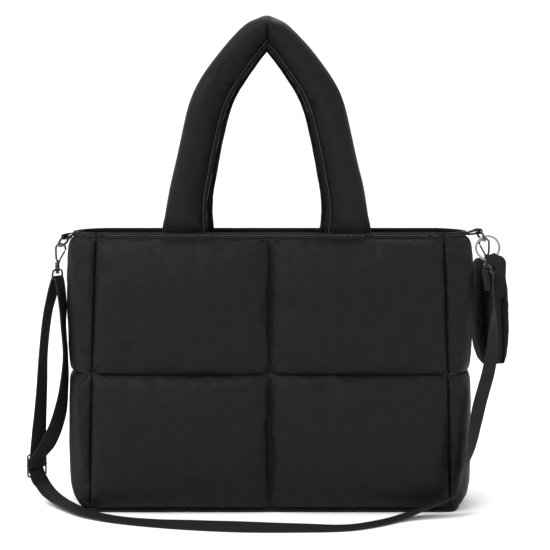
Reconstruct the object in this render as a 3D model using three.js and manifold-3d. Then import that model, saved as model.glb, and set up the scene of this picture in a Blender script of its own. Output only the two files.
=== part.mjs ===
// A quilted puffer tote bag standing on its base, with its shoulder strap laid on the floor in front of it.
// Millimetres, +Z up, origin in the middle of the base on the floor. -Y is the front and +X the right.
import * as THREE from "three";
import { mergeVertices } from "three/addons/utils/BufferGeometryUtils.js";
import Module from "manifold-3d";

// Driving dimensions of the body
const panelWidth = 368;
const baseSpread = 4.5;
const rimHeight = 292;
const backRimRise = 4;
const mouthDepth = 44;
const baseDepth = 112;
const gussetFlare = 26;
const seamThickness = 3;
const hemHeight = 6;
const panelPuff = 13;
const gussetPuff = 7;
const liningPuff = 3;
const baseThickness = 4;
const basePuff = 8;
const seamGap = 0.3;
const midSeamShare = 0.5;
const puffFlatness = 2.6;
const puffRoundness = 0.62;

// Driving dimensions of the handles
const handleSpan = 178;
const handleRise = 214.5;
const handleWidth = 33;
const handleDepth = 35;
const handleLean = 18.2;
const handleTuck = 11;
const handleFootThickness = 11;
const handleFootGap = 0.5;
const handleOffset = -3.5;
const seamStripReach = 5;
const seamStripRoot = 0.5;
const seamStripThickness = 3;

// Driving dimensions of the tabs, rings and hooks
const ringWire = 2.6;
const dRingWidth = 18;
const dRingHeight = 12;
const tabWidth = 12.5;
const tabThickness = 1.5;
const hookWire = 2.2;
const hookHeight = 20.3;
const hookWidth = 10.3;
const gateWire = 1.8;
const barrelRadius = 2.7;
const barrelHeight = 6;
const postRadius = 1.2;
const postHeadRadius = 2.1;
const postHeadHeight = 2.2;
const swivelClearance = 0.35;
const collarHeight = 3;
const strapRingHeight = 10.5;
const strapRingWidth = 22;
const keyRingRadius = 12.5;
const keyRingWire = 2.4;
const keyRingAlong = -6.3;
const keyRingLean = 14;

// Driving dimensions of the shoulder strap and its slider
const strapWidth = 18;
const strapThickness = 1.4;
const sliderWidth = 22;
const sliderBarSpacing = 12;
const sliderWire = 2.2;
const touch = 0.3;

// Driving dimensions of the pouch
const pouchHeight = 119;
const pouchDepth = 84;
const pouchPuff = 11;
const pouchCornering = 0.16;
const pouchTilt = 2.5;
const pouchOut = 36;
const pouchBack = 56;
const pouchDrop = 90;
const zipStripWidth = 13;
const zipStripThickness = 2;
const pouchTabWidth = 12;
const pouchTabLength = 44;
const pouchTabTurn = -72;

const wasm = await Module();
wasm.setup();

const X = new THREE.Vector3(1, 0, 0);
const Y = new THREE.Vector3(0, 1, 0);
const Z = new THREE.Vector3(0, 0, 1);
const v3 = (x, y, z) => new THREE.Vector3(x, y, z);
const radians = THREE.MathUtils.degToRad;
const lerp = THREE.MathUtils.lerp;

// Materials
const nylon = { color: 0x1b1b1c, roughness: 0.55, metalness: 0 };
const webbing = { color: 0x161617, roughness: 0.75, metalness: 0 };
const silver = { color: 0xc9cbce, roughness: 0.22, metalness: 1 };
const gunmetal = { color: 0x4a4b4e, roughness: 0.35, metalness: 1 };

function named(name, geometry, look) {
  geometry.computeVertexNormals();
  const mesh = new THREE.Mesh(geometry, new THREE.MeshStandardMaterial(look));
  mesh.name = name;
  return mesh;
}

// A value read between the rows of a table, by the named column against the row's own share.
function between(rows, by, column, share) {
  const next = rows.findIndex((row) => row[by] >= share);
  if (next <= 0) return rows[next === 0 ? 0 : rows.length - 1][column];
  const [a, b] = [rows[next - 1], rows[next]];
  const t = (share - a[by]) / (b[by] - a[by]);
  const eased = t * t * (3 - 2 * t);
  return lerp(a[column], b[column], (eased + t) / 2);
}

// A closed surface from points and triangles, turned so that its faces point outwards.
function closedSurface(points, triangles) {
  let volume = 0;
  for (const [a, b, c] of triangles) {
    volume += points[a].dot(points[b].clone().cross(points[c]));
  }
  const facing = volume < 0 ? triangles.map(([a, b, c]) => [a, c, b]) : triangles;
  const geometry = new THREE.BufferGeometry().setFromPoints(points);
  geometry.setIndex(facing.flat());
  return geometry;
}

// Skins a row of rings of points, each with as many points as the next,
// and caps its ends unless it closes on itself.
function loft(rings, closesOnItself = false) {
  const around = rings[0].length;
  const points = rings.flat();
  const triangles = [];
  const spans = closesOnItself ? rings.length : rings.length - 1;
  for (let i = 0; i < spans; i++) {
    const from = i * around;
    const to = ((i + 1) % rings.length) * around;
    for (let j = 0; j < around; j++) {
      const k = (j + 1) % around;
      triangles.push([from + j, from + k, to + k], [from + j, to + k, to + j]);
    }
  }
  if (!closesOnItself) {
    for (const [start, flip] of [[0, true], [(rings.length - 1) * around, false]]) {
      const middle = points.length;
      const centre = v3(0, 0, 0);
      for (let j = 0; j < around; j++) centre.addScaledVector(points[start + j], 1 / around);
      points.push(centre);
      for (let j = 0; j < around; j++) {
        const k = start + ((j + 1) % around);
        triangles.push(flip ? [middle, k, start + j] : [middle, start + j, k]);
      }
    }
  }
  return closedSurface(points, triangles);
}

// Sweeps a section along points. across(i) is the direction of the section's first axis at point i,
// and section(i) its outline.
function sweep(path, across, section, closesOnItself = false) {
  const last = path.length - 1;
  const rings = path.map((point, i) => {
    const before = path[closesOnItself ? (i + last) % (last + 1) : Math.max(i - 1, 0)];
    const after = path[closesOnItself ? (i + 1) % (last + 1) : Math.min(i + 1, last)];
    const tangent = after.clone().sub(before).normalize();
    const side = across(i).clone().addScaledVector(tangent, -across(i).dot(tangent)).normalize();
    const normal = tangent.clone().cross(side);
    return section(i).map(([a, b]) => point.clone().addScaledVector(side, a).addScaledVector(normal, b));
  });
  return loft(rings, closesOnItself);
}

function circle(radius, sides) {
  return Array.from({ length: sides }, (_, i) => {
    const angle = ((i + 0.5) / sides) * 2 * Math.PI;
    return [radius * Math.cos(angle), radius * Math.sin(angle)];
  });
}

function wire(path, diameter, across, sides = 8, closesOnItself = false) {
  const outline = circle(diameter / 2, sides);
  return sweep(path, () => across, () => outline, closesOnItself);
}

function flat(width, thickness) {
  const [a, b] = [width / 2, thickness / 2];
  return [[-a, -b], [a, -b], [a, b], [-a, b]];
}

function smooth(points, count, closed = false) {
  const curve = new THREE.CatmullRomCurve3(points, closed, "centripetal");
  const path = curve.getSpacedPoints(count);
  return closed ? path.slice(0, -1) : path;
}

function solid(geometry) {
  const plain = geometry.index ? geometry.toNonIndexed() : geometry.clone();
  for (const name of Object.keys(plain.attributes)) {
    if (name !== "position") plain.deleteAttribute(name);
  }
  const merged = mergeVertices(plain, 1e-3);
  return new wasm.Manifold(
    new wasm.Mesh({
      numProp: 3,
      vertProperties: merged.attributes.position.array,
      triVerts: new Uint32Array(merged.index.array),
    }),
  );
}

function geometryOf(manifold) {
  const { vertProperties, triVerts } = manifold.getMesh();
  const geometry = new THREE.BufferGeometry();
  geometry.setAttribute("position", new THREE.BufferAttribute(new Float32Array(vertProperties), 3));
  geometry.setIndex(new THREE.BufferAttribute(new Uint32Array(triVerts), 1));
  return geometry;
}

function joined(geometries) {
  return geometryOf(geometries.map(solid).reduce((whole, next) => whole.add(next)));
}

// How far the bag has closed from its base depth to its mouth depth at a share of its height.
const closingRows = [
  { height: 0, closing: 0 },
  { height: 0.25, closing: 0.07 },
  { height: 0.5, closing: 0.28 },
  { height: 0.75, closing: 0.62 },
  { height: 1, closing: 1 },
];

// How far a gusset stands out beyond the side seams, as a share of its flare.
const flareRows = [
  { height: 0, flare: 0.57 },
  { height: 0.08, flare: 0.74 },
  { height: 0.25, flare: 0.79 },
  { height: 0.5, flare: 0.86 },
  { height: 0.9, flare: 1 },
  { height: 1, flare: 0.97 },
];

// The cells of a puff, close together at its seams where the cloth turns.
const puffStations = [0, 0.035, 0.1, 0.23, 0.5, 0.77, 0.9, 0.965, 1];
const gussetStations = [0, 0.04, 0.12, 0.25, 0.38, 0.5, 0.62, 0.75, 0.88, 0.96, 1];

function stations(seams, shares) {
  const all = [];
  for (let i = 0; i + 1 < seams.length; i++) {
    for (const share of shares) all.push(lerp(seams[i], seams[i + 1], share));
  }
  return all.filter((value, i) => i === 0 || value - all[i - 1] > 1e-9);
}

// How far a puff has risen at a share of the way between two seams.
function swell(seams, share) {
  const next = Math.max(1, seams.findIndex((seam) => seam >= share - 1e-9));
  const local = (share - seams[next - 1]) / (seams[next] - seams[next - 1]);
  const fromMiddle = Math.min(1, Math.abs(2 * local - 1));
  return (1 - fromMiddle ** puffFlatness) ** puffRoundness;
}

// A padded wall. place(s, t) is its middle surface, its puffs rise between the seams,
// and its top band is a flat hem.
function paddedWall({ place, outward, acrossSeams, upSeams, puff, acrossStations, height }) {
  const hemStart = 1 - hemHeight / height;
  const seamsUp = upSeams.map((seam) => seam * hemStart);
  const across = stations(acrossSeams, acrossStations);
  const up = [...stations(seamsUp, puffStations), 1];
  const rise = (s, t) => (t > hemStart ? 0 : swell(acrossSeams, s) * swell(seamsUp, t));
  const step = 1e-3;
  const outer = [];
  const inner = [];
  for (const t of up) {
    for (const s of across) {
      const point = place(s, t);
      const along = place(Math.min(1, s + step), t).sub(place(Math.max(0, s - step), t));
      const above = place(s, Math.min(1, t + step)).sub(place(s, Math.max(0, t - step)));
      const normal = along.cross(above).normalize();
      if (normal.dot(outward(s)) < 0) normal.negate();
      const lift = rise(s, t);
      outer.push(point.clone().addScaledVector(normal, seamThickness / 2 + puff * lift));
      inner.push(point.clone().addScaledVector(normal, -seamThickness / 2 - liningPuff * lift));
    }
  }
  const points = [...outer, ...inner];
  const [columns, rows, back] = [across.length, up.length, outer.length];
  const at = (i, j) => j * columns + i;
  const triangles = [];
  const quad = (a, b, c, d) => triangles.push([a, b, c], [a, c, d]);
  for (let j = 0; j + 1 < rows; j++) {
    for (let i = 0; i + 1 < columns; i++) {
      const [a, b, c, d] = [at(i, j), at(i + 1, j), at(i + 1, j + 1), at(i, j + 1)];
      quad(a, b, c, d);
      quad(back + a, back + d, back + c, back + b);
    }
    quad(at(0, j), at(0, j + 1), back + at(0, j + 1), back + at(0, j));
    const [low, high] = [at(columns - 1, j), at(columns - 1, j + 1)];
    quad(high, low, back + low, back + high);
  }
  for (let i = 0; i + 1 < columns; i++) {
    quad(at(i + 1, 0), at(i, 0), back + at(i, 0), back + at(i + 1, 0));
    const [left, right] = [at(i, rows - 1), at(i + 1, rows - 1)];
    quad(left, right, back + right, back + left);
  }
  return closedSurface(points, triangles);
}

const wallFoot = baseThickness + seamGap;

function halfDepth(share) {
  return lerp(baseDepth, mouthDepth, between(closingRows, "height", "closing", share)) / 2;
}

// Half the distance between the side seams, a little more at the base than at the rim
function halfWidth(share) {
  return panelWidth / 2 + baseSpread * (1 - share);
}

function flareAt(share) {
  return gussetFlare * between(flareRows, "height", "flare", share);
}

// The front and back panels, of two by two puffs
function panel(side) {
  const height = rimHeight + (side > 0 ? backRimRise : 0) - wallFoot;
  const shape = paddedWall({
    place: (s, t) => {
      const x = (2 * s - 1) * (halfWidth(t) - seamGap / 2);
      return v3(x, side * halfDepth(t), wallFoot + height * t);
    },
    outward: () => v3(0, side, 0),
    acrossSeams: [0, 0.5, 1],
    upSeams: [0, midSeamShare, 1],
    puff: panelPuff,
    acrossStations: puffStations,
    height,
  });
  return named(side < 0 ? "front_panel" : "back_panel", shape, nylon);
}

// The gussets, each a half oval in plan that stands out past the side seams
function gusset(side) {
  const shape = paddedWall({
    place: (s, t) => {
      const angle = Math.PI * s;
      const top = rimHeight + backRimRise * s;
      const x = side * (halfWidth(t) + seamGap / 2 + flareAt(t) * Math.sin(angle));
      return v3(x, -halfDepth(t) * Math.cos(angle), lerp(wallFoot, top, t));
    },
    outward: (s) => v3(side * Math.sin(Math.PI * s), -Math.cos(Math.PI * s), 0),
    acrossSeams: [0, 1],
    upSeams: [0, midSeamShare, 1],
    puff: gussetPuff,
    acrossStations: gussetStations,
    height: rimHeight - wallFoot,
  });
  return named(side < 0 ? "gusset_left" : "gusset_right", shape, nylon);
}

// How the base's padding rises inside the walls, as shares of half the base depth and of its puff.
const baseRows = [
  { inset: 0.14, rise: 0 },
  { inset: 0.224, rise: 0.55 },
  { inset: 0.42, rise: 0.88 },
  { inset: 0.7, rise: 1 },
];

// The base panel, flat below where it rests and softly padded above, with the walls' outline in plan
function basePanel() {
  const steps = 12;
  const outline = (inset, height) => {
    const points = [];
    for (const side of [1, -1]) {
      for (let i = 0; i <= steps; i++) {
        const angle = (Math.PI * i) / steps;
        const out = flareAt(0) + seamThickness / 2 - inset;
        const deep = halfDepth(0) + seamThickness / 2 - inset;
        const x = side * (halfWidth(0) + out * Math.sin(angle));
        points.push(v3(x, -side * deep * Math.cos(angle), height));
      }
    }
    return points;
  };
  const level = ({ inset, rise }) => outline(halfDepth(0) * inset, baseThickness + basePuff * rise);
  const levels = baseRows.map(level);
  return named("base_panel", loft([outline(0, 0), outline(0, baseThickness), ...levels]), nylon);
}

// One half of a handle from its foot to the top, as shares of its span, rise, width and depth.
// Below the rim a rise is a share of its tuck into the mouth.
const handleRows = [
  { out: 1.0, rise: -1, width: 1.34, depth: 0, lean: 0 },
  { out: 1.0, rise: -0.2, width: 1.34, depth: 0, lean: 0 },
  { out: 1.0, rise: 0.012, width: 1.32, depth: 0.08, lean: 0.06 },
  { out: 0.985, rise: 0.08, width: 1.16, depth: 0.72, lean: 0.8 },
  { out: 0.945, rise: 0.2, width: 1.02, depth: 0.95, lean: 1.12 },
  { out: 0.85, rise: 0.37, width: 0.97, depth: 1, lean: 1.12 },
  { out: 0.77, rise: 0.54, width: 0.97, depth: 1, lean: 1.04 },
  { out: 0.7, rise: 0.65, width: 0.96, depth: 1, lean: 1 },
  { out: 0.57, rise: 0.75, width: 0.88, depth: 1.02, lean: 1 },
  { out: 0.32, rise: 0.885, width: 0.82, depth: 1.02, lean: 1 },
  { out: 0.1, rise: 0.985, width: 0.78, depth: 1.02, lean: 1 },
];

// A handle, a padded tube with its seam allowance as a flat strip along its inner edge
function handle(side) {
  const rim = rimHeight + (side > 0 ? backRimRise : 0);
  const footY = mouthDepth / 2 - seamThickness / 2 - handleFootGap - handleFootThickness / 2;
  const top = { ...handleRows[handleRows.length - 1], out: 0, rise: 1 };
  const left = handleRows.map((row) => ({ ...row, out: -row.out }));
  const rows = [...left, top, ...handleRows.slice().reverse()];
  const place = (row) =>
    v3(
      handleOffset + (row.out * handleSpan) / 2,
      side * lerp(footY, handleLean, row.lean),
      rim + row.rise * (row.rise < 0 ? handleTuck : handleRise),
    );
  const positions = new THREE.CatmullRomCurve3(rows.map(place), false, "centripetal");
  const sizes = new THREE.CatmullRomCurve3(
    rows.map((row) => v3(row.width * handleWidth, lerp(handleFootThickness, handleDepth, row.depth), 0)),
    false,
    "centripetal",
  );
  const steps = 36;
  const path = Array.from({ length: steps + 1 }, (_, i) => positions.getPoint(i / steps));
  const section = (i) => {
    const size = sizes.getPoint(i / steps);
    const outline = [];
    const sides = 12;
    for (let k = 1; k < sides; k++) {
      const angle = (2 * Math.PI * k) / sides;
      outline.push([(size.y / 2) * Math.sin(angle), (-size.x / 2) * Math.cos(angle)]);
    }
    const strip = seamStripThickness / 2;
    const root = -size.x / 2 + seamStripRoot;
    const tip = -size.x / 2 - seamStripReach;
    return [[-strip, root], [-strip, tip], [strip, tip], [strip, root], ...outline];
  };
  const shape = sweep(path, () => Y, section);
  return named(side < 0 ? "front_handle" : "back_handle", shape, nylon);
}

// What hangs at each end of the mouth: where the tab's ring bar lies in millimetres from the rim,
// how it is turned in degrees, and how far out the hook hangs from the ring.
const hangings = [
  { name: "left", side: -1, barOut: 9, barRise: -5, yaw: 18, hookShift: 3.7 },
  { name: "right", side: 1, barOut: 13.5, barRise: 1, yaw: 10, hookShift: 4.2 },
];

const dRingSlant = radians(31);

// The places of one side's pieces, worked out from the gusset's rim outwards.
function hangingPlaces({ side, barOut, barRise, yaw, hookShift }) {
  const rimX = halfWidth(1) + seamGap / 2 + flareAt(1) + seamThickness / 2;
  const turn = radians(yaw);
  const axis = v3(-side * Math.sin(turn), Math.cos(turn), 0);
  const bar = v3(side * (rimX + barOut), 0, rimHeight + barRise);
  const down = v3(side * Math.sin(dRingSlant), 0, -Math.cos(dRingSlant));
  const eye = bar.clone().addScaledVector(down, dRingHeight);
  const crookTop = eye.z + ringWire / 2 + touch + hookWire / 2;
  const barrelTop = v3(eye.x + side * hookShift, 0, crookTop - hookHeight);
  const ringTop = barrelTop.z - barrelHeight - swivelClearance;
  const ringBar = v3(barrelTop.x, 0, ringTop - strapRingHeight);
  return { side, axis, bar, down, eye, rimX, barrelTop, ringTop, ringBar };
}

// How far below its bar a D-ring's bow lies, at a distance along from its middle.
function dRingDrop(along) {
  const half = dRingWidth / 2;
  return (dRingHeight / 2) * (1 + Math.sqrt(Math.max(0, 1 - (along / half) ** 2)));
}

function dRing(hanging, places) {
  const { axis, bar, down } = places;
  const half = dRingWidth / 2;
  const at = (along, drop) => bar.clone().addScaledVector(axis, along).addScaledVector(down, drop);
  const path = [at(-half * 0.5, 0), at(0, 0), at(half * 0.5, 0), at(half * 0.92, 0.08 * half)];
  const steps = 14;
  for (let i = 0; i <= steps; i++) {
    const angle = (Math.PI * i) / steps;
    path.push(at(half * Math.cos(angle), dRingDrop(half * Math.cos(angle))));
  }
  path.push(at(-half * 0.92, 0.08 * half));
  const face = axis.clone().cross(down);
  return named(`d_ring_${hanging.name}`, wire(path, ringWire, face, 6, true), silver);
}

// A tab, a folded band sewn at the gusset's rim that holds the ring's bar
function tab(hanging, places) {
  const { side, axis, bar, rimX } = places;
  const bend = ringWire / 2 + touch + tabThickness / 2;
  const root = v3(side * (rimX + touch + tabThickness / 2), 0, rimHeight - hemHeight * 0.3);
  const toRoot = root.clone().sub(bar);
  toRoot.addScaledVector(axis, -toRoot.dot(axis)).normalize();
  const upNormal = axis.clone().cross(toRoot);
  if (upNormal.z < 0) upNormal.negate();
  const spread = tabThickness / 2 + touch / 2;
  const arc = [];
  const steps = 8;
  for (let i = 0; i <= steps; i++) {
    const angle = lerp(radians(110), radians(-110), i / steps);
    const out = toRoot.clone().multiplyScalar(-Math.cos(angle)).addScaledVector(upNormal, Math.sin(angle));
    arc.push(bar.clone().addScaledVector(out, bend));
  }
  const layer = (sign) => [
    bar.clone().addScaledVector(toRoot, bend * 1.6).addScaledVector(upNormal, sign * bend * 0.8),
    root.clone().addScaledVector(upNormal, sign * spread),
  ];
  const path = [...layer(1).reverse(), ...arc, ...layer(-1)];
  const turned = (i) => (i === 0 || i === path.length - 1 ? Y : axis);
  const shape = sweep(path, turned, () => flat(tabWidth, tabThickness));
  return named(`tab_${hanging.name}`, shape, webbing);
}

// The hook's own plane: u runs from the swivel's axis towards the bag and v up from the barrel's top.
function hookPoint(places, u, v) {
  return v3(places.barrelTop.x - places.side * u, 0, places.barrelTop.z + v);
}

const noseShare = 0.66;
const gateFoot = { u: 1.95, v: 1.5 };

function hook(hanging, places) {
  const spine = -hookWire * 0.6;
  const at = (u, v) => hookPoint(places, u, v);
  const crook = spine + hookWidth / 2;
  const path = [at(0, -1), at(0, 1), at(spine * 0.8, 4.5), at(spine, hookHeight * 0.5)];
  const steps = 8;
  const radius = hookWidth / 2;
  for (let i = 0; i <= steps; i++) {
    const angle = Math.PI * (1 - i / steps);
    path.push(at(crook + radius * Math.cos(angle), hookHeight - radius + radius * Math.sin(angle)));
  }
  path.push(at(crook + radius, hookHeight * noseShare));
  const frame = wire(smooth(path, 24), hookWire, Y, 6);
  const barrelLow = -barrelHeight;
  const postLow = barrelLow - swivelClearance * 2 - collarHeight;
  const profile = [
    [0, postLow - postHeadHeight], [postHeadRadius, postLow - postHeadHeight], [postHeadRadius, postLow],
    [postRadius, postLow], [postRadius, barrelLow], [barrelRadius, barrelLow],
    [barrelRadius, 0], [0, 0],
  ].map(([radiusHere, height]) => new THREE.Vector2(radiusHere, height));
  const barrel = new THREE.LatheGeometry(profile, 10);
  barrel.rotateX(Math.PI / 2);
  barrel.translate(places.barrelTop.x, 0, places.barrelTop.z);
  return named(`hook_${hanging.name}`, joined([frame, barrel]), silver);
}

// The gate that closes the hook, from beside the barrel up to just below the nose
function gate(hanging, places) {
  const crookRight = -hookWire * 0.6 + hookWidth;
  const tip = { u: crookRight - touch * 2, v: hookHeight * noseShare - gateWire / 2 };
  const path = [gateFoot, tip].map(({ u, v }) => hookPoint(places, u, v));
  const shape = wire(smooth(path, 5), gateWire, Y, 8);
  return named(`gate_${hanging.name}`, shape, gunmetal);
}

// The ring that carries the strap, with the collar that the hook's post turns in
function strapRing(hanging, places) {
  const { axis, ringTop, ringBar, barrelTop } = places;
  const half = strapRingWidth / 2;
  const at = (along, height) => v3(barrelTop.x, 0, height).addScaledVector(axis, along);
  const upper = ringTop - collarHeight / 2;
  const lower = ringBar.z;
  const rowsAround = [
    { along: 0, height: 1 },
    { along: 0.5, height: 1 },
    { along: 0.85, height: 0.9 },
    { along: 1, height: 0.6 },
    { along: 1, height: 0.12 },
    { along: 0.95, height: 0 },
    { along: 0.45, height: 0 },
    { along: 0, height: 0 },
  ];
  const point = ({ along, height }, sign) => at(sign * along * half, lerp(lower, upper, height));
  const rightHalf = rowsAround.map((row) => point(row, 1));
  const leftHalf = rowsAround.slice(1, -1).reverse().map((row) => point(row, -1));
  const face = axis.clone().cross(Z);
  const ring = wire([...rightHalf, ...leftHalf], hookWire, face, 6, true);
  const collar = new THREE.CylinderGeometry(barrelRadius, barrelRadius, collarHeight, 12);
  collar.rotateX(Math.PI / 2);
  collar.translate(barrelTop.x, 0, ringTop - collarHeight / 2);
  const hole = new THREE.CylinderGeometry(1, 1, collarHeight * 3, 12);
  hole.scale(postRadius + swivelClearance, 1, postRadius + swivelClearance);
  hole.rotateX(Math.PI / 2);
  hole.translate(barrelTop.x, 0, ringTop - collarHeight / 2);
  const shape = geometryOf(solid(ring).add(solid(collar)).subtract(solid(hole)));
  return named(`strap_ring_${hanging.name}`, shape, silver);
}

// The strap's runs, as shares of half the panel width, half the base depth and the rim height.
// face is the direction across the webbing, so that its flat side can be seen to turn.
const innerRun = [
  { out: -1.355, deep: -0.221, up: 0.1742, face: [0.77, 0.64, 0] },
  { out: -1.299, deep: -0.268, up: 0.223, face: [0.85, 0.5, 0] },
  { out: -1.234, deep: -0.357, up: 0.3171, face: [0.7, 0.7, 0] },
  { out: -1.196, deep: -0.446, up: 0.4355, face: [0.35, 0.93, 0] },
  { out: -1.183, deep: -0.482, up: 0.5575, face: [0.1, 1, 0] },
  { out: -1.196, deep: -0.43, up: 0.662, face: [0.1, 1, 0] },
  { out: -1.209, deep: -0.25, up: 0.7456, face: [0.25, 0.96, 0] },
];
const outerRun = [
  { out: -1.278, deep: -0.036, up: 0.7735, face: [0.4, 0.91, 0] },
  { out: -1.304, deep: -0.071, up: 0.7021, face: [0.33, 0.94, 0] },
  { out: -1.33, deep: -0.107, up: 0.561, face: [0.32, 0.95, 0] },
  { out: -1.341, deep: -0.125, up: 0.4286, face: [0.45, 0.9, 0] },
  { out: -1.35, deep: -0.143, up: 0.3401, face: [0.55, 0.84, 0] },
  { out: -1.359, deep: -0.179, up: 0.2509, face: [0.7, 0.7, 0] },
];
const lowerRun = [
  { out: -1.345, deep: -0.161, up: 0.0697, face: [0.8, 0.6, 0] },
  { out: -1.304, deep: -0.286, up: 0.0436, face: [0.8, 0.6, 0.1] },
  { out: -1.239, deep: -0.536, up: 0.0261, face: [0.8, 0.6, 0.05] },
  { out: -1.136, deep: -0.964, up: 0.0174, face: [0.72, 0.7, 0] },
  { out: -1.043, deep: -1.304, up: 0.0132, face: [0.62, 0.78, 0] },
  { out: -0.878, deep: -1.661, up: 0.0084, face: [0.45, 0.89, 0.05] },
  { out: -0.668, deep: -1.946, up: 0.0084, face: [0.3, 0.95, 0.12] },
  { out: -0.424, deep: -2.179, up: 0.0118, face: [0.15, 0.95, 0.25] },
  { out: -0.163, deep: -2.321, up: 0.0132, face: [0.05, 0.95, 0.29] },
  { out: 0.136, deep: -2.339, up: 0.0105, face: [-0.05, 0.98, 0.18] },
  { out: 0.418, deep: -2.25, up: 0.0063, face: [-0.2, 0.97, 0.03] },
  { out: 0.565, deep: -2.0, up: 0.0063, face: [-0.42, 0.9, -0.04] },
  { out: 0.717, deep: -1.625, up: 0.0091, face: [-0.45, 0.89, -0.08] },
  { out: 0.867, deep: -1.446, up: 0.0348, face: [-0.25, 0.95, -0.15] },
  { out: 0.951, deep: -1.438, up: 0.054, face: [-0.15, 0.96, -0.2] },
];
const risingRun = [
  { out: 1.031, deep: -1.393, up: 0.0739, face: [0, 0.97, -0.2] },
  { out: 1.059, deep: -1.357, up: 0.101, face: [0.05, 0.98, -0.2] },
  { out: 1.076, deep: -1.304, up: 0.1394, face: [0.15, 0.97, -0.1] },
  { out: 1.1, deep: -1.214, up: 0.1742, face: [0.25, 0.96, 0] },
  { out: 1.139, deep: -1.107, up: 0.2369, face: [0.3, 0.95, 0] },
  { out: 1.166, deep: -0.964, up: 0.3066, face: [0.4, 0.92, 0] },
  { out: 1.2, deep: -0.786, up: 0.3833, face: [0.5, 0.87, 0] },
  { out: 1.265, deep: -0.589, up: 0.5157, face: [0.66, 0.75, 0] },
  { out: 1.291, deep: -0.446, up: 0.6411, face: [0.45, 0.89, 0] },
  { out: 1.3, deep: -0.286, up: 0.7456, face: [0.1, 0.99, 0] },
];

// The strap's end below the right ring, as shares of the strap's width.
const foldRows = [
  { drop: 0.444, out: -0.033 },
  { drop: 0.778, out: 0.022 },
  { drop: 1.111, out: 0.044 },
];

function onRun({ out, deep, up, face }) {
  const at = v3((out * panelWidth) / 2, (deep * baseDepth) / 2, up * rimHeight);
  return { at, face: v3(...face) };
}

const sliderPlace = { out: -1.375, deep: -0.143, up: 0.1359, face: [0.77, 0.64, 0] };

// Points round a bar, seen along the bar: ahead is the level direction square to it.
function roundBar(centre, axis, radius, fromAngle, toAngle, steps) {
  const ahead = axis.clone().cross(Z).normalize();
  return Array.from({ length: steps + 1 }, (_, i) => {
    const angle = radians(lerp(fromAngle, toAngle, i / steps));
    const at = centre.clone().addScaledVector(ahead, radius * Math.cos(angle));
    return { at: at.addScaledVector(Z, radius * Math.sin(angle)), face: axis };
  });
}

// The shoulder strap: sewn round the slider's middle bar, up through the left ring, down through the slider,
// over the floor in front of the bag, and up to the right ring, where its end is folded back and sewn
function shoulderStrap(leftPlaces, rightPlaces) {
  const slider = onRun(sliderPlace);
  const axis = slider.face.clone().normalize();
  const ahead = axis.clone().cross(Z).normalize();
  const onSlider = (forward, height) => ({
    at: slider.at.clone().addScaledVector(ahead, forward).addScaledVector(Z, height),
    face: axis,
  });
  const layer = strapThickness + touch;
  const bend = sliderWire / 2 + touch + strapThickness / 2;
  const ringBend = hookWire / 2 + touch + strapThickness / 2;
  const behind = -(bend + layer + 0.5);
  const sewnLoop = [onSlider(0.3, bend * 3), onSlider(-bend * 0.86, bend * 1.1),
    ...roundBar(slider.at, axis, bend, 180, 360, 8), onSlider(bend + 1.1, bend * 3)];
  const wovenRows = [
    { forward: bend + 0.1, height: sliderBarSpacing + 3 },
    { forward: bend, height: sliderBarSpacing },
    { forward: bend * 0.75, height: sliderBarSpacing - bend * 0.75 },
    { forward: -bend * 0.6, height: sliderBarSpacing * 0.5 },
    { forward: behind, height: sliderBarSpacing * 0.16 },
    { forward: behind, height: -sliderBarSpacing * 0.16 },
    { forward: -bend * 0.6, height: -sliderBarSpacing * 0.5 },
    { forward: bend * 0.75, height: -sliderBarSpacing + bend * 0.75 },
    { forward: bend, height: -sliderBarSpacing },
  ];
  const woven = wovenRows.map(({ forward, height }) => onSlider(forward, height));
  const leftFace = leftPlaces.axis;
  const overLeft = roundBar(leftPlaces.ringBar, leftFace, ringBend, 0, 180, 6);
  const rightFace = rightPlaces.axis;
  const overRight = roundBar(rightPlaces.ringBar, rightFace, ringBend, 0, 180, 6);
  const folded = foldRows.map(({ drop, out }) => {
    const at = rightPlaces.ringBar.clone().addScaledVector(Z, -drop * strapWidth);
    return { at: at.addScaledVector(X, out * strapWidth), face: rightFace };
  });
  const stops = [
    ...sewnLoop, ...innerRun.map(onRun), ...overLeft, ...outerRun.map(onRun), ...woven,
    ...lowerRun.map(onRun), ...risingRun.map(onRun), ...overRight, ...folded,
  ];
  const route = new THREE.CatmullRomCurve3(stops.map((stop) => stop.at), false, "centripetal");
  const turning = new THREE.CatmullRomCurve3(stops.map((stop) => stop.face), false, "catmullrom", 0.3);
  const steps = 2 * (stops.length - 1);
  const path = Array.from({ length: steps + 1 }, (_, i) => route.getPoint(i / steps));
  const outline = flat(strapWidth, strapThickness);
  const shape = sweep(path, (i) => turning.getPoint(i / steps), () => outline);
  return named("shoulder_strap", shape, webbing);
}

// The slider, a wire frame with a middle bar
function strapSlider() {
  const { at: centre, face } = onRun(sliderPlace);
  const axis = face.clone().normalize();
  const [half, tall, corner] = [sliderWidth / 2, sliderBarSpacing, sliderWire];
  const at = (along, height) => centre.clone().addScaledVector(axis, along).addScaledVector(Z, height);
  const path = [];
  for (const [a, h, start] of [[1, 1, 0], [-1, 1, 90], [-1, -1, 180], [1, -1, 270]]) {
    for (const turn of [0, 45, 90]) {
      const angle = radians(start + turn);
      const along = a * (half - corner) + corner * Math.cos(angle);
      path.push(at(along, h * (tall - corner) + corner * Math.sin(angle)));
    }
  }
  const frame = wire(path, sliderWire, axis.clone().cross(Z), 6, true);
  const bar = wire([at(-half - 1.4, 0), at(0, 0), at(half + 1.4, 0)], sliderWire, Z, 8);
  return named("strap_slider", joined([frame, bar]), silver);
}

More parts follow.
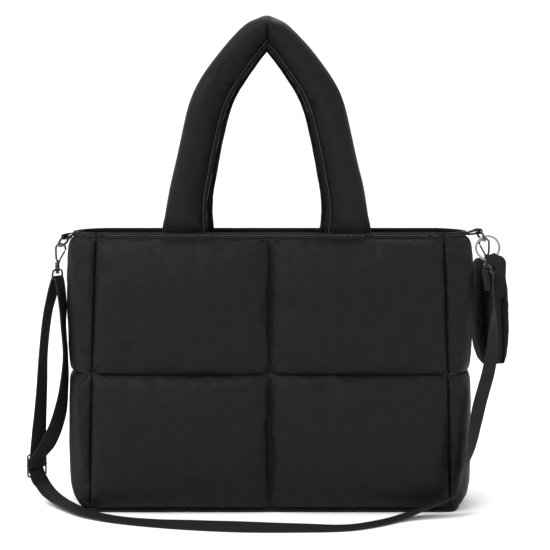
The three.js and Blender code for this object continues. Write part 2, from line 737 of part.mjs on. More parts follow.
// The key ring stands on the D-ring's bow and leans outwards.
function keyRingCentre({ axis, bar, down }) {
  const drop = dRingDrop(keyRingAlong);
  const seat = bar.clone().addScaledVector(axis, keyRingAlong).addScaledVector(down, drop);
  seat.z += ringWire / 2 + touch * 2.6 + keyRingWire / 2;
  const hang = v3(Math.sin(radians(keyRingLean)), 0, -Math.cos(radians(keyRingLean)));
  return seat.addScaledVector(hang, keyRingRadius);
}

function keyRing(places) {
  const shape = new THREE.TorusGeometry(keyRingRadius, keyRingWire / 2, 6, 32);
  shape.rotateX(Math.PI / 2);
  const centre = keyRingCentre(places);
  shape.translate(centre.x, centre.y, centre.z);
  return named("key_ring", shape, silver);
}

// The pouch's tab, a folded band over the key ring's wire, sewn at its lower end to the pouch's near seam.
// right and down are shares of the tab's width and length, back of its way to the pouch.
function pouchTab(places, pouchNear) {
  const centre = keyRingCentre(places);
  const turn = radians(pouchTabTurn);
  const out = v3(Math.cos(turn), 0, Math.sin(turn));
  const fold = centre.clone().addScaledVector(out, keyRingRadius);
  const along = v3(-out.z, 0, out.x);
  const bend = keyRingWire / 2 + touch * 1.6 + tabThickness / 2;
  const spread = tabThickness / 2 + touch / 2;
  const rows = [
    { right: 0.267, back: 0, down: 0.02, spread: bend, face: along },
    { right: 0.75, back: 0, down: 0.07, spread: bend * 0.7, face: v3(1, 0, 0.15) },
    { right: 0.833, back: 0.05, down: 0.22, spread, face: v3(1, 0, 0.15) },
    { right: 0.875, back: 0.45, down: 0.62, spread, face: X },
    { right: 0.833, back: 1, down: 1, spread, face: X },
  ];
  const reach = pouchNear - spread - tabThickness / 2 - touch - fold.y;
  const side = (sign) =>
    rows.map((row) => {
      const y = row.back * reach + sign * row.spread;
      const at = fold.clone().add(v3(row.right * pouchTabWidth, y, -row.down * pouchTabLength));
      return { at, face: row.face };
    });
  const sagitta = keyRingRadius - Math.sqrt(keyRingRadius ** 2 - (pouchTabWidth / 2) ** 2);
  const over = [-150, -120, -90, -60, -30].map((angle) => {
    const point = fold.clone().addScaledVector(out, (bend + sagitta + touch) * Math.sin(radians(angle)));
    return { at: point.addScaledVector(Y, bend * Math.cos(radians(angle))), face: along };
  });
  const stops = [...side(-1).reverse(), ...over, ...side(1)];
  const outline = flat(pouchTabWidth, tabThickness);
  const shape = sweep(stops.map((stop) => stop.at), (i) => stops[i].face, () => outline);
  return named("pouch_tab", shape, webbing);
}

// How far over a pouch face its lining rises too, so that it stays inside the strip.
const pouchLiningShare = 0.8;

// One padded face of the pouch, in the pouch's own frame with its outside towards +X or -X
function pouchFace(side) {
  const half = [pouchDepth / 2, pouchHeight / 2];
  const steps = [-1, -0.92, -0.75, -0.45, 0, 0.45, 0.75, 0.92, 1];
  const points = { outer: [], inner: [] };
  const start = zipStripWidth / 2 + touch;
  for (const t of steps) {
    for (const s of steps) {
      const y = half[0] * s * Math.sqrt(1 - pouchCornering * t * t);
      const z = half[1] * t * Math.sqrt(1 - pouchCornering * s * s);
      const rise = ((1 - Math.abs(s) ** puffFlatness) * (1 - Math.abs(t) ** puffFlatness)) ** puffRoundness;
      const insideStrip = Math.max(Math.abs(s), Math.abs(t)) < pouchLiningShare;
      points.outer.push(v3(side * (start + seamThickness + pouchPuff * rise), y, z));
      points.inner.push(v3(side * (start - (insideStrip ? liningPuff * rise : 0)), y, z));
    }
  }
  const [count, back] = [steps.length, steps.length ** 2];
  const triangles = [];
  const quad = (a, b, c, d) => triangles.push([a, b, c], [a, c, d]);
  for (let j = 0; j + 1 < count; j++) {
    for (let i = 0; i + 1 < count; i++) {
      const [a, b, c, d] = [j * count + i, j * count + i + 1, (j + 1) * count + i + 1, (j + 1) * count + i];
      quad(a, b, c, d);
      quad(back + a, back + d, back + c, back + b);
    }
    const [left, leftNext] = [j * count, (j + 1) * count];
    const [right, rightNext] = [left + count - 1, leftNext + count - 1];
    const [low, lowNext, high, highNext] = [j, j + 1, back - count + j, back - count + j + 1];
    quad(left, leftNext, back + leftNext, back + left);
    quad(rightNext, right, back + right, back + rightNext);
    quad(lowNext, low, back + low, back + lowNext);
    quad(high, highNext, back + highNext, back + high);
  }
  const shape = closedSurface([...points.outer, ...points.inner], triangles);
  return named(side < 0 ? "pouch_inner_face" : "pouch_outer_face", shape, nylon);
}

// The strip between the pouch's faces, with the zip along its top
function pouchStrip() {
  const half = [pouchDepth / 2 - zipStripThickness / 2, pouchHeight / 2 - zipStripThickness / 2];
  const path = [];
  const edge = [-1, -0.75, -0.4, 0, 0.4, 0.75];
  const push = (s, t) => {
    const y = half[0] * s * Math.sqrt(1 - pouchCornering * t * t);
    path.push(v3(0, y, half[1] * t * Math.sqrt(1 - pouchCornering * s * s)));
  };
  for (const share of edge) push(share, -1);
  for (const share of edge) push(1, share);
  for (const share of edge) push(-share, 1);
  for (const share of edge) push(-1, -share);
  const outline = flat(zipStripWidth, zipStripThickness);
  return named("pouch_zip_strip", sweep(path, () => X, () => outline, true), nylon);
}

const [left, right] = hangings.map(hangingPlaces);

const pouch = new THREE.Group();
pouch.position.set(panelWidth / 2 + gussetFlare + pouchOut, pouchBack, rimHeight - pouchDrop);
pouch.rotation.y = radians(-pouchTilt);
pouch.add(pouchFace(-1), pouchFace(1), pouchStrip());
const pouchNear = pouchBack - pouchDepth / 2 + touch * 2;

const model = new THREE.Group();
model.add(panel(-1), panel(1), gusset(-1), gusset(1), basePanel(), handle(-1), handle(1));
for (const [i, places] of [left, right].entries()) {
  const hanging = hangings[i];
  model.add(dRing(hanging, places), tab(hanging, places), hook(hanging, places));
  model.add(gate(hanging, places), strapRing(hanging, places));
}
model.add(strapSlider(), shoulderStrap(left, right));
model.add(keyRing(right), pouchTab(right, pouchNear), pouch);

export default model;
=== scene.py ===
# %% [markdown]
# # A quilted puffer tote, its shoulder strap and its small pouch
#
# The bag is sewn from black nylon over a soft filling. Each wall is a flat cloth that is stitched down
# along a few lines and pushed out between them, so nearly everything here is one idea in several forms: a
# grid of cloth, pinned where the stitches are, and blown up in between. The metal and the webbing are
# built to the same sizes as the frame that is loaded first.

from math import cos, exp, pi, radians, sin, sqrt
from random import Random
from types import SimpleNamespace

import bmesh
import bpy
from mathutils import Matrix, Vector, noise


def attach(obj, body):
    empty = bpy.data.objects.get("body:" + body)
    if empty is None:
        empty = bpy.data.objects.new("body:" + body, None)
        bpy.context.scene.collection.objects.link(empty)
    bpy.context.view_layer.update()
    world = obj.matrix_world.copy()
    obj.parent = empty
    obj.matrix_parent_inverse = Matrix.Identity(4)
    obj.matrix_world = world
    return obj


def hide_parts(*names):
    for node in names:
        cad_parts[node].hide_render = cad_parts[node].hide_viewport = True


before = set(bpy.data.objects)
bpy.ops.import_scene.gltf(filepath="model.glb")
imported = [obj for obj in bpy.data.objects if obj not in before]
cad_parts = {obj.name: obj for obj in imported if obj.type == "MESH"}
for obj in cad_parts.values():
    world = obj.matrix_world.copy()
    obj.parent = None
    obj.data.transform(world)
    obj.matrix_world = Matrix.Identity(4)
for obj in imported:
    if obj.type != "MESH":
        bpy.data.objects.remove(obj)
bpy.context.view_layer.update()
scene = bpy.context.scene

# %% [markdown]
# ## Sizes
#
# The frame was made from named sizes, and the cloth has to meet it, so the same names are given here
# once, in metres. Curves that are easier to draw than to calculate stay as short tables with a share in
# the first column.

# %% Sizes of the body and the handles
MM = 0.001
panel_width, base_spread, rim_height, back_rim_rise = 368 * MM, 4.5 * MM, 292 * MM, 4 * MM
mouth_depth, base_depth, gusset_flare = 44 * MM, 112 * MM, 26 * MM
seam_thickness, hem_height, seam_gap = 3 * MM, 6 * MM, 0.3 * MM
panel_puff, gusset_puff, lining_puff = 13 * MM, 7 * MM, 3 * MM
base_thickness, base_puff = 4 * MM, 8 * MM
wall_foot = base_thickness + seam_gap
handle_span, handle_rise, handle_offset = 178 * MM, 214.5 * MM, -3.5 * MM
handle_width, handle_depth, handle_lean = 33 * MM, 35 * MM, 18.2 * MM
handle_tuck, handle_foot_thickness, handle_foot_gap = 11 * MM, 11 * MM, 0.5 * MM
strip_reach, strip_root, strip_thickness = 5 * MM, 0.8 * MM, 3 * MM
touch = 0.3 * MM

CLOSING = ((0, 0), (0.25, 0.07), (0.5, 0.28), (0.75, 0.62), (1, 1))
FLARE = ((0, 0.57), (0.08, 0.74), (0.25, 0.79), (0.5, 0.86), (0.9, 1), (1, 0.97))


def between(rows, share):
    """A value read between the rows of a table, easing a little at each row."""
    if share <= rows[0][0]:
        return rows[0][1]
    for (low, a), (high, b) in zip(rows, rows[1:]):
        if share <= high:
            t = (share - low) / (high - low)
            return a + (b - a) * (t * t * (3 - 2 * t) + t) / 2
    return rows[-1][1]


def half_depth(share):
    return (base_depth + (mouth_depth - base_depth) * between(CLOSING, share)) / 2


def half_width(share):
    return panel_width / 2 + base_spread * (1 - share)


def flare_at(share):
    return gusset_flare * between(FLARE, share)


print("rim half depth", round(half_depth(1), 4), "base half depth", round(half_depth(0), 4))

# %% [markdown]
# ## Camera
#
# The bag was seen from about a metre and a half with a long lens, a little above the middle of the bag
# and looking slightly down. A long lens keeps the sides nearly parallel, which is why the gussets show so
# little of themselves.

# %% Place the camera
camera = bpy.data.objects.new("camera", bpy.data.cameras.new("camera"))
camera.data.lens, camera.data.sensor_width = 85, 36
camera_place, camera_drop = (0.0053, -1.4, 0.3386), 3.8
camera.location = camera_place
camera.rotation_euler = (radians(90 - camera_drop), 0, 0)
scene.collection.objects.link(camera)
scene.camera = camera
print("camera at", tuple(camera.location))

# %% [markdown]
# ## Floor and light
#
# A pale sweep of paper runs under the bag and curves up behind it, so that no horizon line shows. Large
# soft lamps matter more than strong ones: black cloth shows its shape only by the broad sheen that a big
# lamp leaves on it.


# %% Make the paper sweep
def shader(name, colour, roughness=0.5, metallic=0.0):
    material = bpy.data.materials.new(name)
    material.use_nodes = True
    principled = material.node_tree.nodes["Principled BSDF"]
    principled.inputs["Base Color"].default_value = (*colour, 1)
    principled.inputs["Roughness"].default_value = roughness
    principled.inputs["Metallic"].default_value = metallic
    return material, principled


def mesh_from(bm, name):
    mesh = bpy.data.meshes.new(name)
    bm.to_mesh(mesh)
    bm.free()
    return mesh


def finish_mesh(bm, name, material, smooth=True):
    """Turns a bmesh into an object at the origin with one material."""
    mesh = mesh_from(bm, name)
    mesh.materials.append(material)
    mesh.polygons.foreach_set("use_smooth", [smooth] * len(mesh.polygons))
    made = bpy.data.objects.new(name, mesh)
    scene.collection.objects.link(made)
    return made


paper_reach, sweep_radius, sweep_steps, wall_rise = 3, 1, 8, 3
paper, _ = shader("pale_paper", (0.95, 0.95, 0.95), 0.9)
bm = bmesh.new()
bmesh.ops.create_grid(bm, x_segments=1, y_segments=1, size=paper_reach)
far_edge = [e for e in bm.edges if all(v.co.y > paper_reach * 0.9 for v in e.verts)]
for step in range(sweep_steps):
    turn = radians(90 * (step + 1) / sweep_steps)
    moved = bmesh.ops.extrude_edge_only(bm, edges=far_edge)["geom"]
    for v in (g for g in moved if isinstance(g, bmesh.types.BMVert)):
        v.co.y, v.co.z = paper_reach + sweep_radius * sin(turn), sweep_radius * (1 - cos(turn))
    far_edge = [g for g in moved if isinstance(g, bmesh.types.BMEdge)]
moved = bmesh.ops.extrude_edge_only(bm, edges=far_edge)["geom"]
wall_top = [g for g in moved if isinstance(g, bmesh.types.BMVert)]
bmesh.ops.translate(bm, verts=wall_top, vec=(0, 0, wall_rise))
sweep_paper = finish_mesh(bm, "paper_sweep", paper)
print("paper faces", len(sweep_paper.data.polygons))

# %% Hang the lamps
world = bpy.data.worlds.new("studio")
scene.world = world
world.use_nodes = True
world.node_tree.nodes["Background"].inputs["Color"].default_value = (1, 1, 1, 1)
world.node_tree.nodes["Background"].inputs["Strength"].default_value = 1.0
lamp_aim = Vector((0, 0, 0.22))
LAMPS = (
    # name, place, size and power
    ("key", (-1.3, -1.3, 2.3), 1.5, 60),
    ("fill", (1.7, -1.5, 1.0), 1.4, 5),
    ("back", (0.3, 1.3, 2.2), 1.6, 26),
)
for lamp_name, place, size, power in LAMPS:
    lamp = bpy.data.objects.new(lamp_name, bpy.data.lights.new(lamp_name, "AREA"))
    lamp.data.size, lamp.data.energy = size, power
    lamp.location = place
    lamp.rotation_euler = (lamp_aim - Vector(place)).to_track_quat("-Z", "Y").to_euler()
    scene.collection.objects.link(lamp)
scene.view_settings.view_transform = "Standard"
print("lamps", len(LAMPS))

# %% [markdown]
# ## Finishes
#
# Three effects are shared: the plain weave of the nylon, the faint crumple that any filled cloth has, and
# the ribs of the webbing. Each is a node group with named sockets that gives out a height or a mask, and
# each material keeps its own Principled shader and its own values.


# %% A small kit for shader nodes
def link(tree, source, target):
    tree.links.new(source, target)
    return source


def maths(tree, operation, a, b=None):
    node = tree.nodes.new("ShaderNodeMath")
    node.operation = operation
    for socket, value in zip(node.inputs, (a, b)):
        if value is None:
            continue
        if isinstance(value, (int, float)):
            socket.default_value = value
        else:
            tree.links.new(value, socket)
    return node.outputs[0]


def new_group(name, inputs, outputs):
    group = bpy.data.node_groups.new(name, "ShaderNodeTree")
    for label, kind in inputs:
        group.interface.new_socket(label, in_out="INPUT", socket_type=kind)
    for label, kind in outputs:
        group.interface.new_socket(label, in_out="OUTPUT", socket_type=kind)
    return group, group.nodes.new("NodeGroupInput").outputs, group.nodes.new("NodeGroupOutput").inputs


def noise_at(tree, vector, scale, detail=3.0, distortion=0.0):
    node = tree.nodes.new("ShaderNodeTexNoise")
    node.inputs["Scale"].default_value = scale if isinstance(scale, (int, float)) else 1
    if not isinstance(scale, (int, float)):
        tree.links.new(scale, node.inputs["Scale"])
    node.inputs["Detail"].default_value = detail
    node.inputs["Distortion"].default_value = distortion
    tree.links.new(vector, node.inputs["Vector"])
    return node.outputs["Fac"]


# %% Build the shared effects
VECTOR, FLOAT = "NodeSocketVector", "NodeSocketFloat"
weave, given, out = new_group("plain_weave", [("Vector", VECTOR), ("Threads", FLOAT)], [("Height", FLOAT)])
parts = weave.nodes.new("ShaderNodeSeparateXYZ")
link(weave, given["Vector"], parts.inputs[0])
along = maths(weave, "SINE", maths(weave, "MULTIPLY", parts.outputs["X"], given["Threads"]))
across = maths(weave, "SINE", maths(weave, "MULTIPLY", parts.outputs["Y"], given["Threads"]))
link(weave, maths(weave, "MULTIPLY_ADD", maths(weave, "MULTIPLY", along, across), 0.5), out["Height"])

crumple, given, out = new_group(
    "cloth_crumple", [("Vector", VECTOR), ("Scale", FLOAT)], [("Height", FLOAT), ("Mottle", FLOAT)]
)
broad = noise_at(crumple, given["Vector"], given["Scale"], 4, 0.6)
fine = noise_at(crumple, given["Vector"], maths(crumple, "MULTIPLY", given["Scale"], 5.0), 3, 0.9)
crease = maths(crumple, "ABSOLUTE", maths(crumple, "SUBTRACT", broad, 0.5))
link(crumple, maths(crumple, "ADD", crease, maths(crumple, "MULTIPLY", fine, 0.25)), out["Height"])
link(crumple, fine, out["Mottle"])

rib, given, out = new_group(
    "webbing_ribs", [("Vector", VECTOR), ("Ribs", FLOAT)], [("Height", FLOAT), ("Edge", FLOAT)]
)
parts = rib.nodes.new("ShaderNodeSeparateXYZ")
link(rib, given["Vector"], parts.inputs[0])
slant = maths(rib, "ADD", parts.outputs["Y"], maths(rib, "ABSOLUTE", parts.outputs["X"]))
waves = maths(rib, "SINE", maths(rib, "MULTIPLY", slant, given["Ribs"]))
cross = maths(rib, "SINE", maths(rib, "MULTIPLY", parts.outputs["X"], given["Ribs"]))
link(rib, maths(rib, "MULTIPLY_ADD", maths(rib, "ADD", waves, cross), 0.25), out["Height"])
edge_starts = 0.0078
link(rib, maths(rib, "GREATER_THAN", maths(rib, "ABSOLUTE", parts.outputs["X"]), edge_starts), out["Edge"])
print("node groups", [g.name for g in bpy.data.node_groups])


# %% Mix the nylon, the webbing, the thread and the metals
def group_node(tree, group, vector, **values):
    node = tree.nodes.new("ShaderNodeGroup")
    node.node_tree = group
    tree.links.new(vector, node.inputs["Vector"])
    for label, value in values.items():
        node.inputs[label].default_value = value
    return node.outputs


def bump(tree, height, strength, distance, below=None):
    node = tree.nodes.new("ShaderNodeBump")
    node.inputs["Strength"].default_value = strength
    node.inputs["Distance"].default_value = distance
    tree.links.new(height, node.inputs["Height"])
    if below is not None:
        tree.links.new(below, node.inputs["Normal"])
    return node.outputs["Normal"]


def ramp(tree, fac, low, high, start=0.3, stop=0.7):
    node = tree.nodes.new("ShaderNodeMapRange")
    node.inputs["From Min"].default_value, node.inputs["From Max"].default_value = start, stop
    node.inputs["To Min"].default_value, node.inputs["To Max"].default_value = low, high
    tree.links.new(fac, node.inputs["Value"])
    return node.outputs["Result"]


def two_colours(tree, fac, dark, light):
    node = tree.nodes.new("ShaderNodeValToRGB")
    node.color_ramp.elements[0].position, node.color_ramp.elements[1].position = 0.35, 0.65
    node.color_ramp.elements[0].color, node.color_ramp.elements[1].color = (*dark, 1), (*light, 1)
    tree.links.new(fac, node.inputs["Fac"])
    return node.outputs["Color"]


THREAD_PITCH, RIB_PITCH = 0.9 * MM, 1.6 * MM


def nylon_finish(name, dark, light, crumple_scale, crumple_depth, roughness=(0.46, 0.58), ior=1.17):
    material, principled = shader(name, light, 0.5)
    tree = material.node_tree
    spot = tree.nodes.new("ShaderNodeTexCoord").outputs
    folds = group_node(tree, crumple, spot["Object"], Scale=crumple_scale)
    threads = group_node(tree, weave, spot["UV"], Threads=2 * pi / THREAD_PITCH)
    link(tree, two_colours(tree, folds["Mottle"], dark, light), principled.inputs["Base Color"])
    link(tree, ramp(tree, folds["Mottle"], *roughness), principled.inputs["Roughness"])
    soft = bump(tree, folds["Height"], 0.5, crumple_depth)
    link(tree, bump(tree, threads["Height"], 0.35, 0.12 * MM, soft), principled.inputs["Normal"])
    principled.inputs["IOR"].default_value = ior
    return material


nylon = nylon_finish("puffer_nylon", (0.007, 0.007, 0.0072), (0.0087, 0.0087, 0.0089), 22, 1.3 * MM)
# The walls' inside faces get a darker copy of the puffer nylon: painted shade inside the bag.
shaded_lining = nylon_finish("lining_nylon_painted_shade", (0.005, 0.005, 0.0053), (0.007, 0.007, 0.0073), 34, 1.6 * MM)
# A darker copy of the puffer nylon for the pouch's faces: painted shade, as the pouch stands side-on to the
# lamps.
pouch_nylon = nylon_finish(
    "pouch_nylon", (0.0035, 0.0035, 0.0037), (0.005, 0.005, 0.0052), 40, 0.8 * MM, (0.66, 0.8), 1.09
)
# A darker copy of the puffer nylon for the handles' seam strips: painted shade under the handles' inner
# edges.
seam_nylon_painted_shade = nylon_finish("seam_nylon_painted_shade", (0.0035, 0.0035, 0.0037), (0.006, 0.006, 0.0062), 60, 0.8 * MM)
patch_tape = nylon_finish("patch_tape", (0.10, 0.10, 0.10), (0.15, 0.15, 0.15), 90, 0.4 * MM)

webbing, principled = shader("webbing", (0.013, 0.013, 0.0134), 0.62)
tree = webbing.node_tree
spot = tree.nodes.new("ShaderNodeTexCoord").outputs
ribs = group_node(tree, rib, spot["UV"], Ribs=2 * pi / RIB_PITCH)
# The ribs' colour follows their height, lighter on the crests and darker between them: painted highlight and
# painted shade.
rib_height_shading = two_colours(tree, ribs["Height"], (0.009, 0.009, 0.0093), (0.019, 0.019, 0.0194))
link(tree, rib_height_shading, principled.inputs["Base Color"])
link(tree, ramp(tree, ribs["Edge"], 0.66, 0.5, 0, 1), principled.inputs["Roughness"])
link(tree, bump(tree, ribs["Height"], 0.7, 0.3 * MM), principled.inputs["Normal"])
principled.inputs["IOR"].default_value = 1.12

thread, principled = shader("thread", (0.09, 0.09, 0.092), 0.5)
tree = thread.node_tree
spot = tree.nodes.new("ShaderNodeTexCoord").outputs
twist = noise_at(tree, spot["Object"], 900)
thread_colours = two_colours(tree, twist, (0.06, 0.06, 0.061), (0.12, 0.12, 0.122))
link(tree, thread_colours, principled.inputs["Base Color"])


def metal_finish(name, dark, light, smooth_end, rough_end):
    material, principled = shader(name, light, rough_end, 1.0)
    tree = material.node_tree
    spot = tree.nodes.new("ShaderNodeTexCoord").outputs
    wear = noise_at(tree, spot["Object"], 420, 5, 0.4)
    link(tree, two_colours(tree, wear, dark, light), principled.inputs["Base Color"])
    link(tree, ramp(tree, wear, smooth_end, rough_end), principled.inputs["Roughness"])
    scratches = noise_at(tree, spot["Object"], 1500, 2)
    link(tree, bump(tree, scratches, 0.1, 0.05 * MM), principled.inputs["Normal"])
    return material


silver = metal_finish("silver", (0.04, 0.04, 0.042), (0.075, 0.076, 0.079), 0.12, 0.22)
bright_silver = metal_finish("bright_silver", (0.22, 0.222, 0.23), (0.34, 0.342, 0.35), 0.12, 0.22)
gunmetal = metal_finish("gunmetal", (0.02, 0.02, 0.021), (0.04, 0.04, 0.042), 0.24, 0.36)
print("materials", [m.name for m in bpy.data.materials])

# %% [markdown]
# ## A quilted wall
#
# The real wall is a cover and a lining with wadding between, stitched together along a cross. It could be
# modelled by hand as four pillows, but the little gathers at the stitches would all be guesses. So the
# cover starts as a grid with the pillows already drawn, its stitched lines are pinned, and a short cloth
# simulation with air pressure and slightly longer threads lets it gather by itself. The lining is a plain
# grid, and the two are bridged into one closed wall at their edges.


# %% Lay a grid over a wall
ROW_CROWDING, ROUND_PART, UPPER_DROOP = 0.45, 0.74, 6 * MM


def seam_share(index, count, seams):
    """The share of the way for a row of the grid, with rows closer together beside each seam."""
    here = index / count
    for low, high in zip(seams, seams[1:]):
        if here <= high + 1e-9:
            local = (here - low) / (high - low)
            return low + (high - low) * (local - ROW_CROWDING * sin(2 * pi * local) / (2 * pi))
    return here


def pillow(seams, share, reach, corner=13 * MM):
    """How far a pillow has risen at a share of the way: round at its stitches and gently domed in between."""
    for low, high in zip(seams, seams[1:]):
        if share <= high + 1e-9:
            local = min(1.0, abs(2 * (share - low) / (high - low) - 1))
            inwards = min(1.0, (1 - local) * (high - low) * reach / 2 / corner)
            rounded, domed = sqrt(max(0.0, 1 - (1 - inwards) ** 2)), 1 - local**2
            return ROUND_PART * rounded + (1 - ROUND_PART) * domed
    return 0.0


def walked(points):
    total = [0.0]
    for a, b in zip(points, points[1:]):
        total.append(total[-1] + (b - a).length)
    return total


def flat_size(place, pieces=40):
    """The length of a wall's cloth across its lower third, and its height."""
    across = [place(k / pieces, 0.3) for k in range(pieces + 1)]
    return walked(across)[-1], (place(0.5, 1) - place(0.5, 0)).length


def stretch_map(bm, uv, width, height):
    for face in bm.faces:
        for loop in face.loops:
            loop[uv].uv = (loop[uv].uv.x * width, loop[uv].uv.y * height)


def wall_grid(place, outward, across_seams, up_seams, columns, rows, hem_rows, hem_start, offset):
    """A grid on a wall. offset says how far each point stands off the wall's middle."""
    bm = bmesh.new()
    uv = bm.loops.layers.uv.new("cloth")
    bmesh.ops.create_grid(bm, x_segments=columns, y_segments=rows + hem_rows, size=0.5, calc_uvs=True)
    shares, pinned, step = {}, set(), 1e-3
    width, height = flat_size(place)
    for v in bm.verts:
        i = round((v.co.x + 0.5) * columns)
        j = round((v.co.y + 0.5) * (rows + hem_rows))
        s = seam_share(i, columns, across_seams)
        share = seam_share(j, rows, up_seams) if j <= rows else 1.0
        if j <= rows:
            lift, t = pillow(across_seams, s, width) * pillow(up_seams, share, height), share * hem_start
        else:
            lift, t = 0.0, hem_start + (1 - hem_start) * (j - rows) / hem_rows
        on_seam = any(abs(i / columns - seam) < 1e-6 for seam in across_seams)
        if on_seam or j >= rows or any(abs(j / rows - seam) < 1e-6 for seam in up_seams):
            pinned.add(v.index)
        point = place(s, t)
        sideways = place(min(1, s + step), t) - place(max(0, s - step), t)
        upwards = place(s, min(1, t + step)) - place(s, max(0, t - step))
        normal = sideways.cross(upwards).normalized()
        if normal.dot(outward(s)) < 0:
            normal.negate()
        upper = 0.5 < share < 1 and j <= rows
        droop = UPPER_DROOP * lift * (1 - 2 * abs(share - 0.5)) if upper else 0
        shares[v.index] = (point - Vector((0, 0, droop)), normal, lift, Vector((s * width, t * height, 0)))
    stretch_map(bm, uv, width, height)
    bm.verts.ensure_lookup_table()
    for index, (point, normal, lift, flat_at) in shares.items():
        bm.verts[index].co = point + normal * offset(lift, point, index in pinned, flat_at)
    bm.normal_update()
    bm.faces.ensure_lookup_table()
    facing = sum(f.normal.dot(shares[f.verts[0].index][1]) for f in bm.faces)
    if facing < 0:
        bmesh.ops.reverse_faces(bm, faces=bm.faces[:])
    return bm, pinned


# %% Blow a pinned cloth up
def blow_up(bm, pinned, pressure, longer, frames, most):
    """Simulates a cloth with pinned seams and gives back its mesh, no point moved further than most."""
    mesh = mesh_from(bm, "cloth")
    start = [v.co.copy() for v in mesh.vertices]
    cloth = bpy.data.objects.new("cloth", mesh)
    scene.collection.objects.link(cloth)
    cloth.vertex_groups.new(name="stitched").add(sorted(pinned), 1.0, "ADD")
    modifier = cloth.modifiers.new("filling", "CLOTH")
    settings = modifier.settings
    settings.quality, settings.mass, settings.air_damping = 5, 0.15, 3
    settings.tension_stiffness = settings.compression_stiffness = 25
    settings.shear_stiffness, settings.bending_stiffness = 15, 0.3
    settings.use_pressure, settings.uniform_pressure_force = True, pressure
    settings.vertex_group_mass = "stitched"
    settings.shrink_min = -longer
    settings.effector_weights.gravity = 0
    modifier.collision_settings.use_collision = False
    modifier.point_cache.frame_start, modifier.point_cache.frame_end = 1, frames
    scene.frame_start, scene.frame_end = 1, frames
    for frame_number in range(1, frames + 1):
        scene.frame_set(frame_number)
    blown = bpy.data.meshes.new_from_object(cloth.evaluated_get(bpy.context.evaluated_depsgraph_get()))
    bpy.data.objects.remove(cloth)
    scene.frame_set(1)
    for v, first in zip(blown.vertices, start):
        step = v.co - first
        if step.length > most:
            v.co = first + step * (most / step.length)
    return blown


# %% Join a cover and a lining into one wall
def smoothed(made):
    smoother = made.modifiers.new("smoother", "SUBSURF")
    smoother.levels = smoother.render_levels = 1
    return made


def closed_wall(name, cover, inside, outer_cloth=nylon):
    bm = bmesh.new()
    bm.from_mesh(cover)
    for face in bm.faces:
        face.material_index = 0
    cover_faces = set(bm.faces)
    bm.from_mesh(inside)
    for face in bm.faces:
        if face not in cover_faces:
            face.material_index = 1
    edges = [e for e in bm.edges if e.is_boundary]
    bmesh.ops.bridge_loops(bm, edges=edges)
    wall = finish_mesh(bm, name, outer_cloth)
    wall.data.materials.append(shaded_lining)
    return smoothed(wall)


TUCK_LIMIT, TUCK_BACK, TUCK_FAN = 30 * MM, 1 * MM, 0.1


def tuck_depth(at, tucks):
    """How deep the small pleats at the seams cut in at a place on the flat wall."""
    depth = 0.0
    for start, ahead, length, deep, wide in tucks:
        away = at - start
        if max(abs(away.x), abs(away.y)) > TUCK_LIMIT:
            continue
        along, aside = away.dot(ahead), away.x * ahead.y - away.y * ahead.x
        if -TUCK_BACK < along < length:
            fading = 1 - max(0.0, along) / length
            depth += deep * fading * exp(-((aside / (wide + TUCK_FAN * along)) ** 2))
    return depth


# The sizes of the pleats are in millimetres, as the least and the most.
PLEAT_LENGTH, PLEAT_DEPTH, PLEAT_WIDTH = (8, 19), (0.5, 1.7), (1.1, 2.0)
CORNER_PLEAT = (24 * MM, 3.4 * MM, 1.9 * MM)
PLEAT_GAP_ALONG, PLEAT_GAP_UP = 15 * MM, 17 * MM


def wall_tucks(place, across_seams, seed):
    """Small pleats along every stitched line, and longer ones where two lines meet."""
    dice, tucks = Random(int(seed * 10)), []
    width, height = flat_size(place)

    def add(x, y, turn, length, deep, wide):
        tucks.append((Vector((x, y, 0)), Vector((cos(turn), sin(turn), 0)), length, deep, wide))

    def scatter(first, last, turns, gap):
        run = (last - first).length
        at = dice.uniform(0.3, 1) * gap
        while at < run:
            spot = first.lerp(last, at / run)
            turn = dice.choice(turns) + dice.uniform(-0.5, 0.5)
            sizes = [dice.uniform(*span) * MM for span in (PLEAT_LENGTH, PLEAT_DEPTH, PLEAT_WIDTH)]
            add(spot.x, spot.y, turn, *sizes)
            at += dice.uniform(0.5, 1.7) * gap

    for up in (0, 0.5, 1):
        turns = {0: (pi / 2,), 0.5: (pi / 2, -pi / 2), 1: (-pi / 2,)}[up]
        scatter(Vector((0, up * height, 0)), Vector((width, up * height, 0)), turns, PLEAT_GAP_ALONG)
    for seam in across_seams:
        turns = (0,) if seam == 0 else (pi,) if seam == 1 else (0, pi)
        scatter(Vector((seam * width, 0, 0)), Vector((seam * width, height, 0)), turns, PLEAT_GAP_UP)
        for up in (0, 0.5, 1):
            for turn in (pi / 4, 3 * pi / 4, -pi / 4, -3 * pi / 4):
                inwards = cos(turn) * (0.5 - seam) >= 0 and sin(turn) * (0.5 - up) >= 0
                if inwards or (0 < seam < 1 and up == 0.5):
                    add(seam * width, up * height, turn + dice.uniform(-0.2, 0.2), *CORNER_PLEAT)
    return tucks


HEM_ROLL, COVER_SINK, LINING_SINK = 1.3 * MM, 0.4 * MM, 1 * MM
WALL_PRESSURE, WALL_GROWTH, WALL_FRAMES, WALL_MOST = 1.5, 0.007, 12, 4 * MM


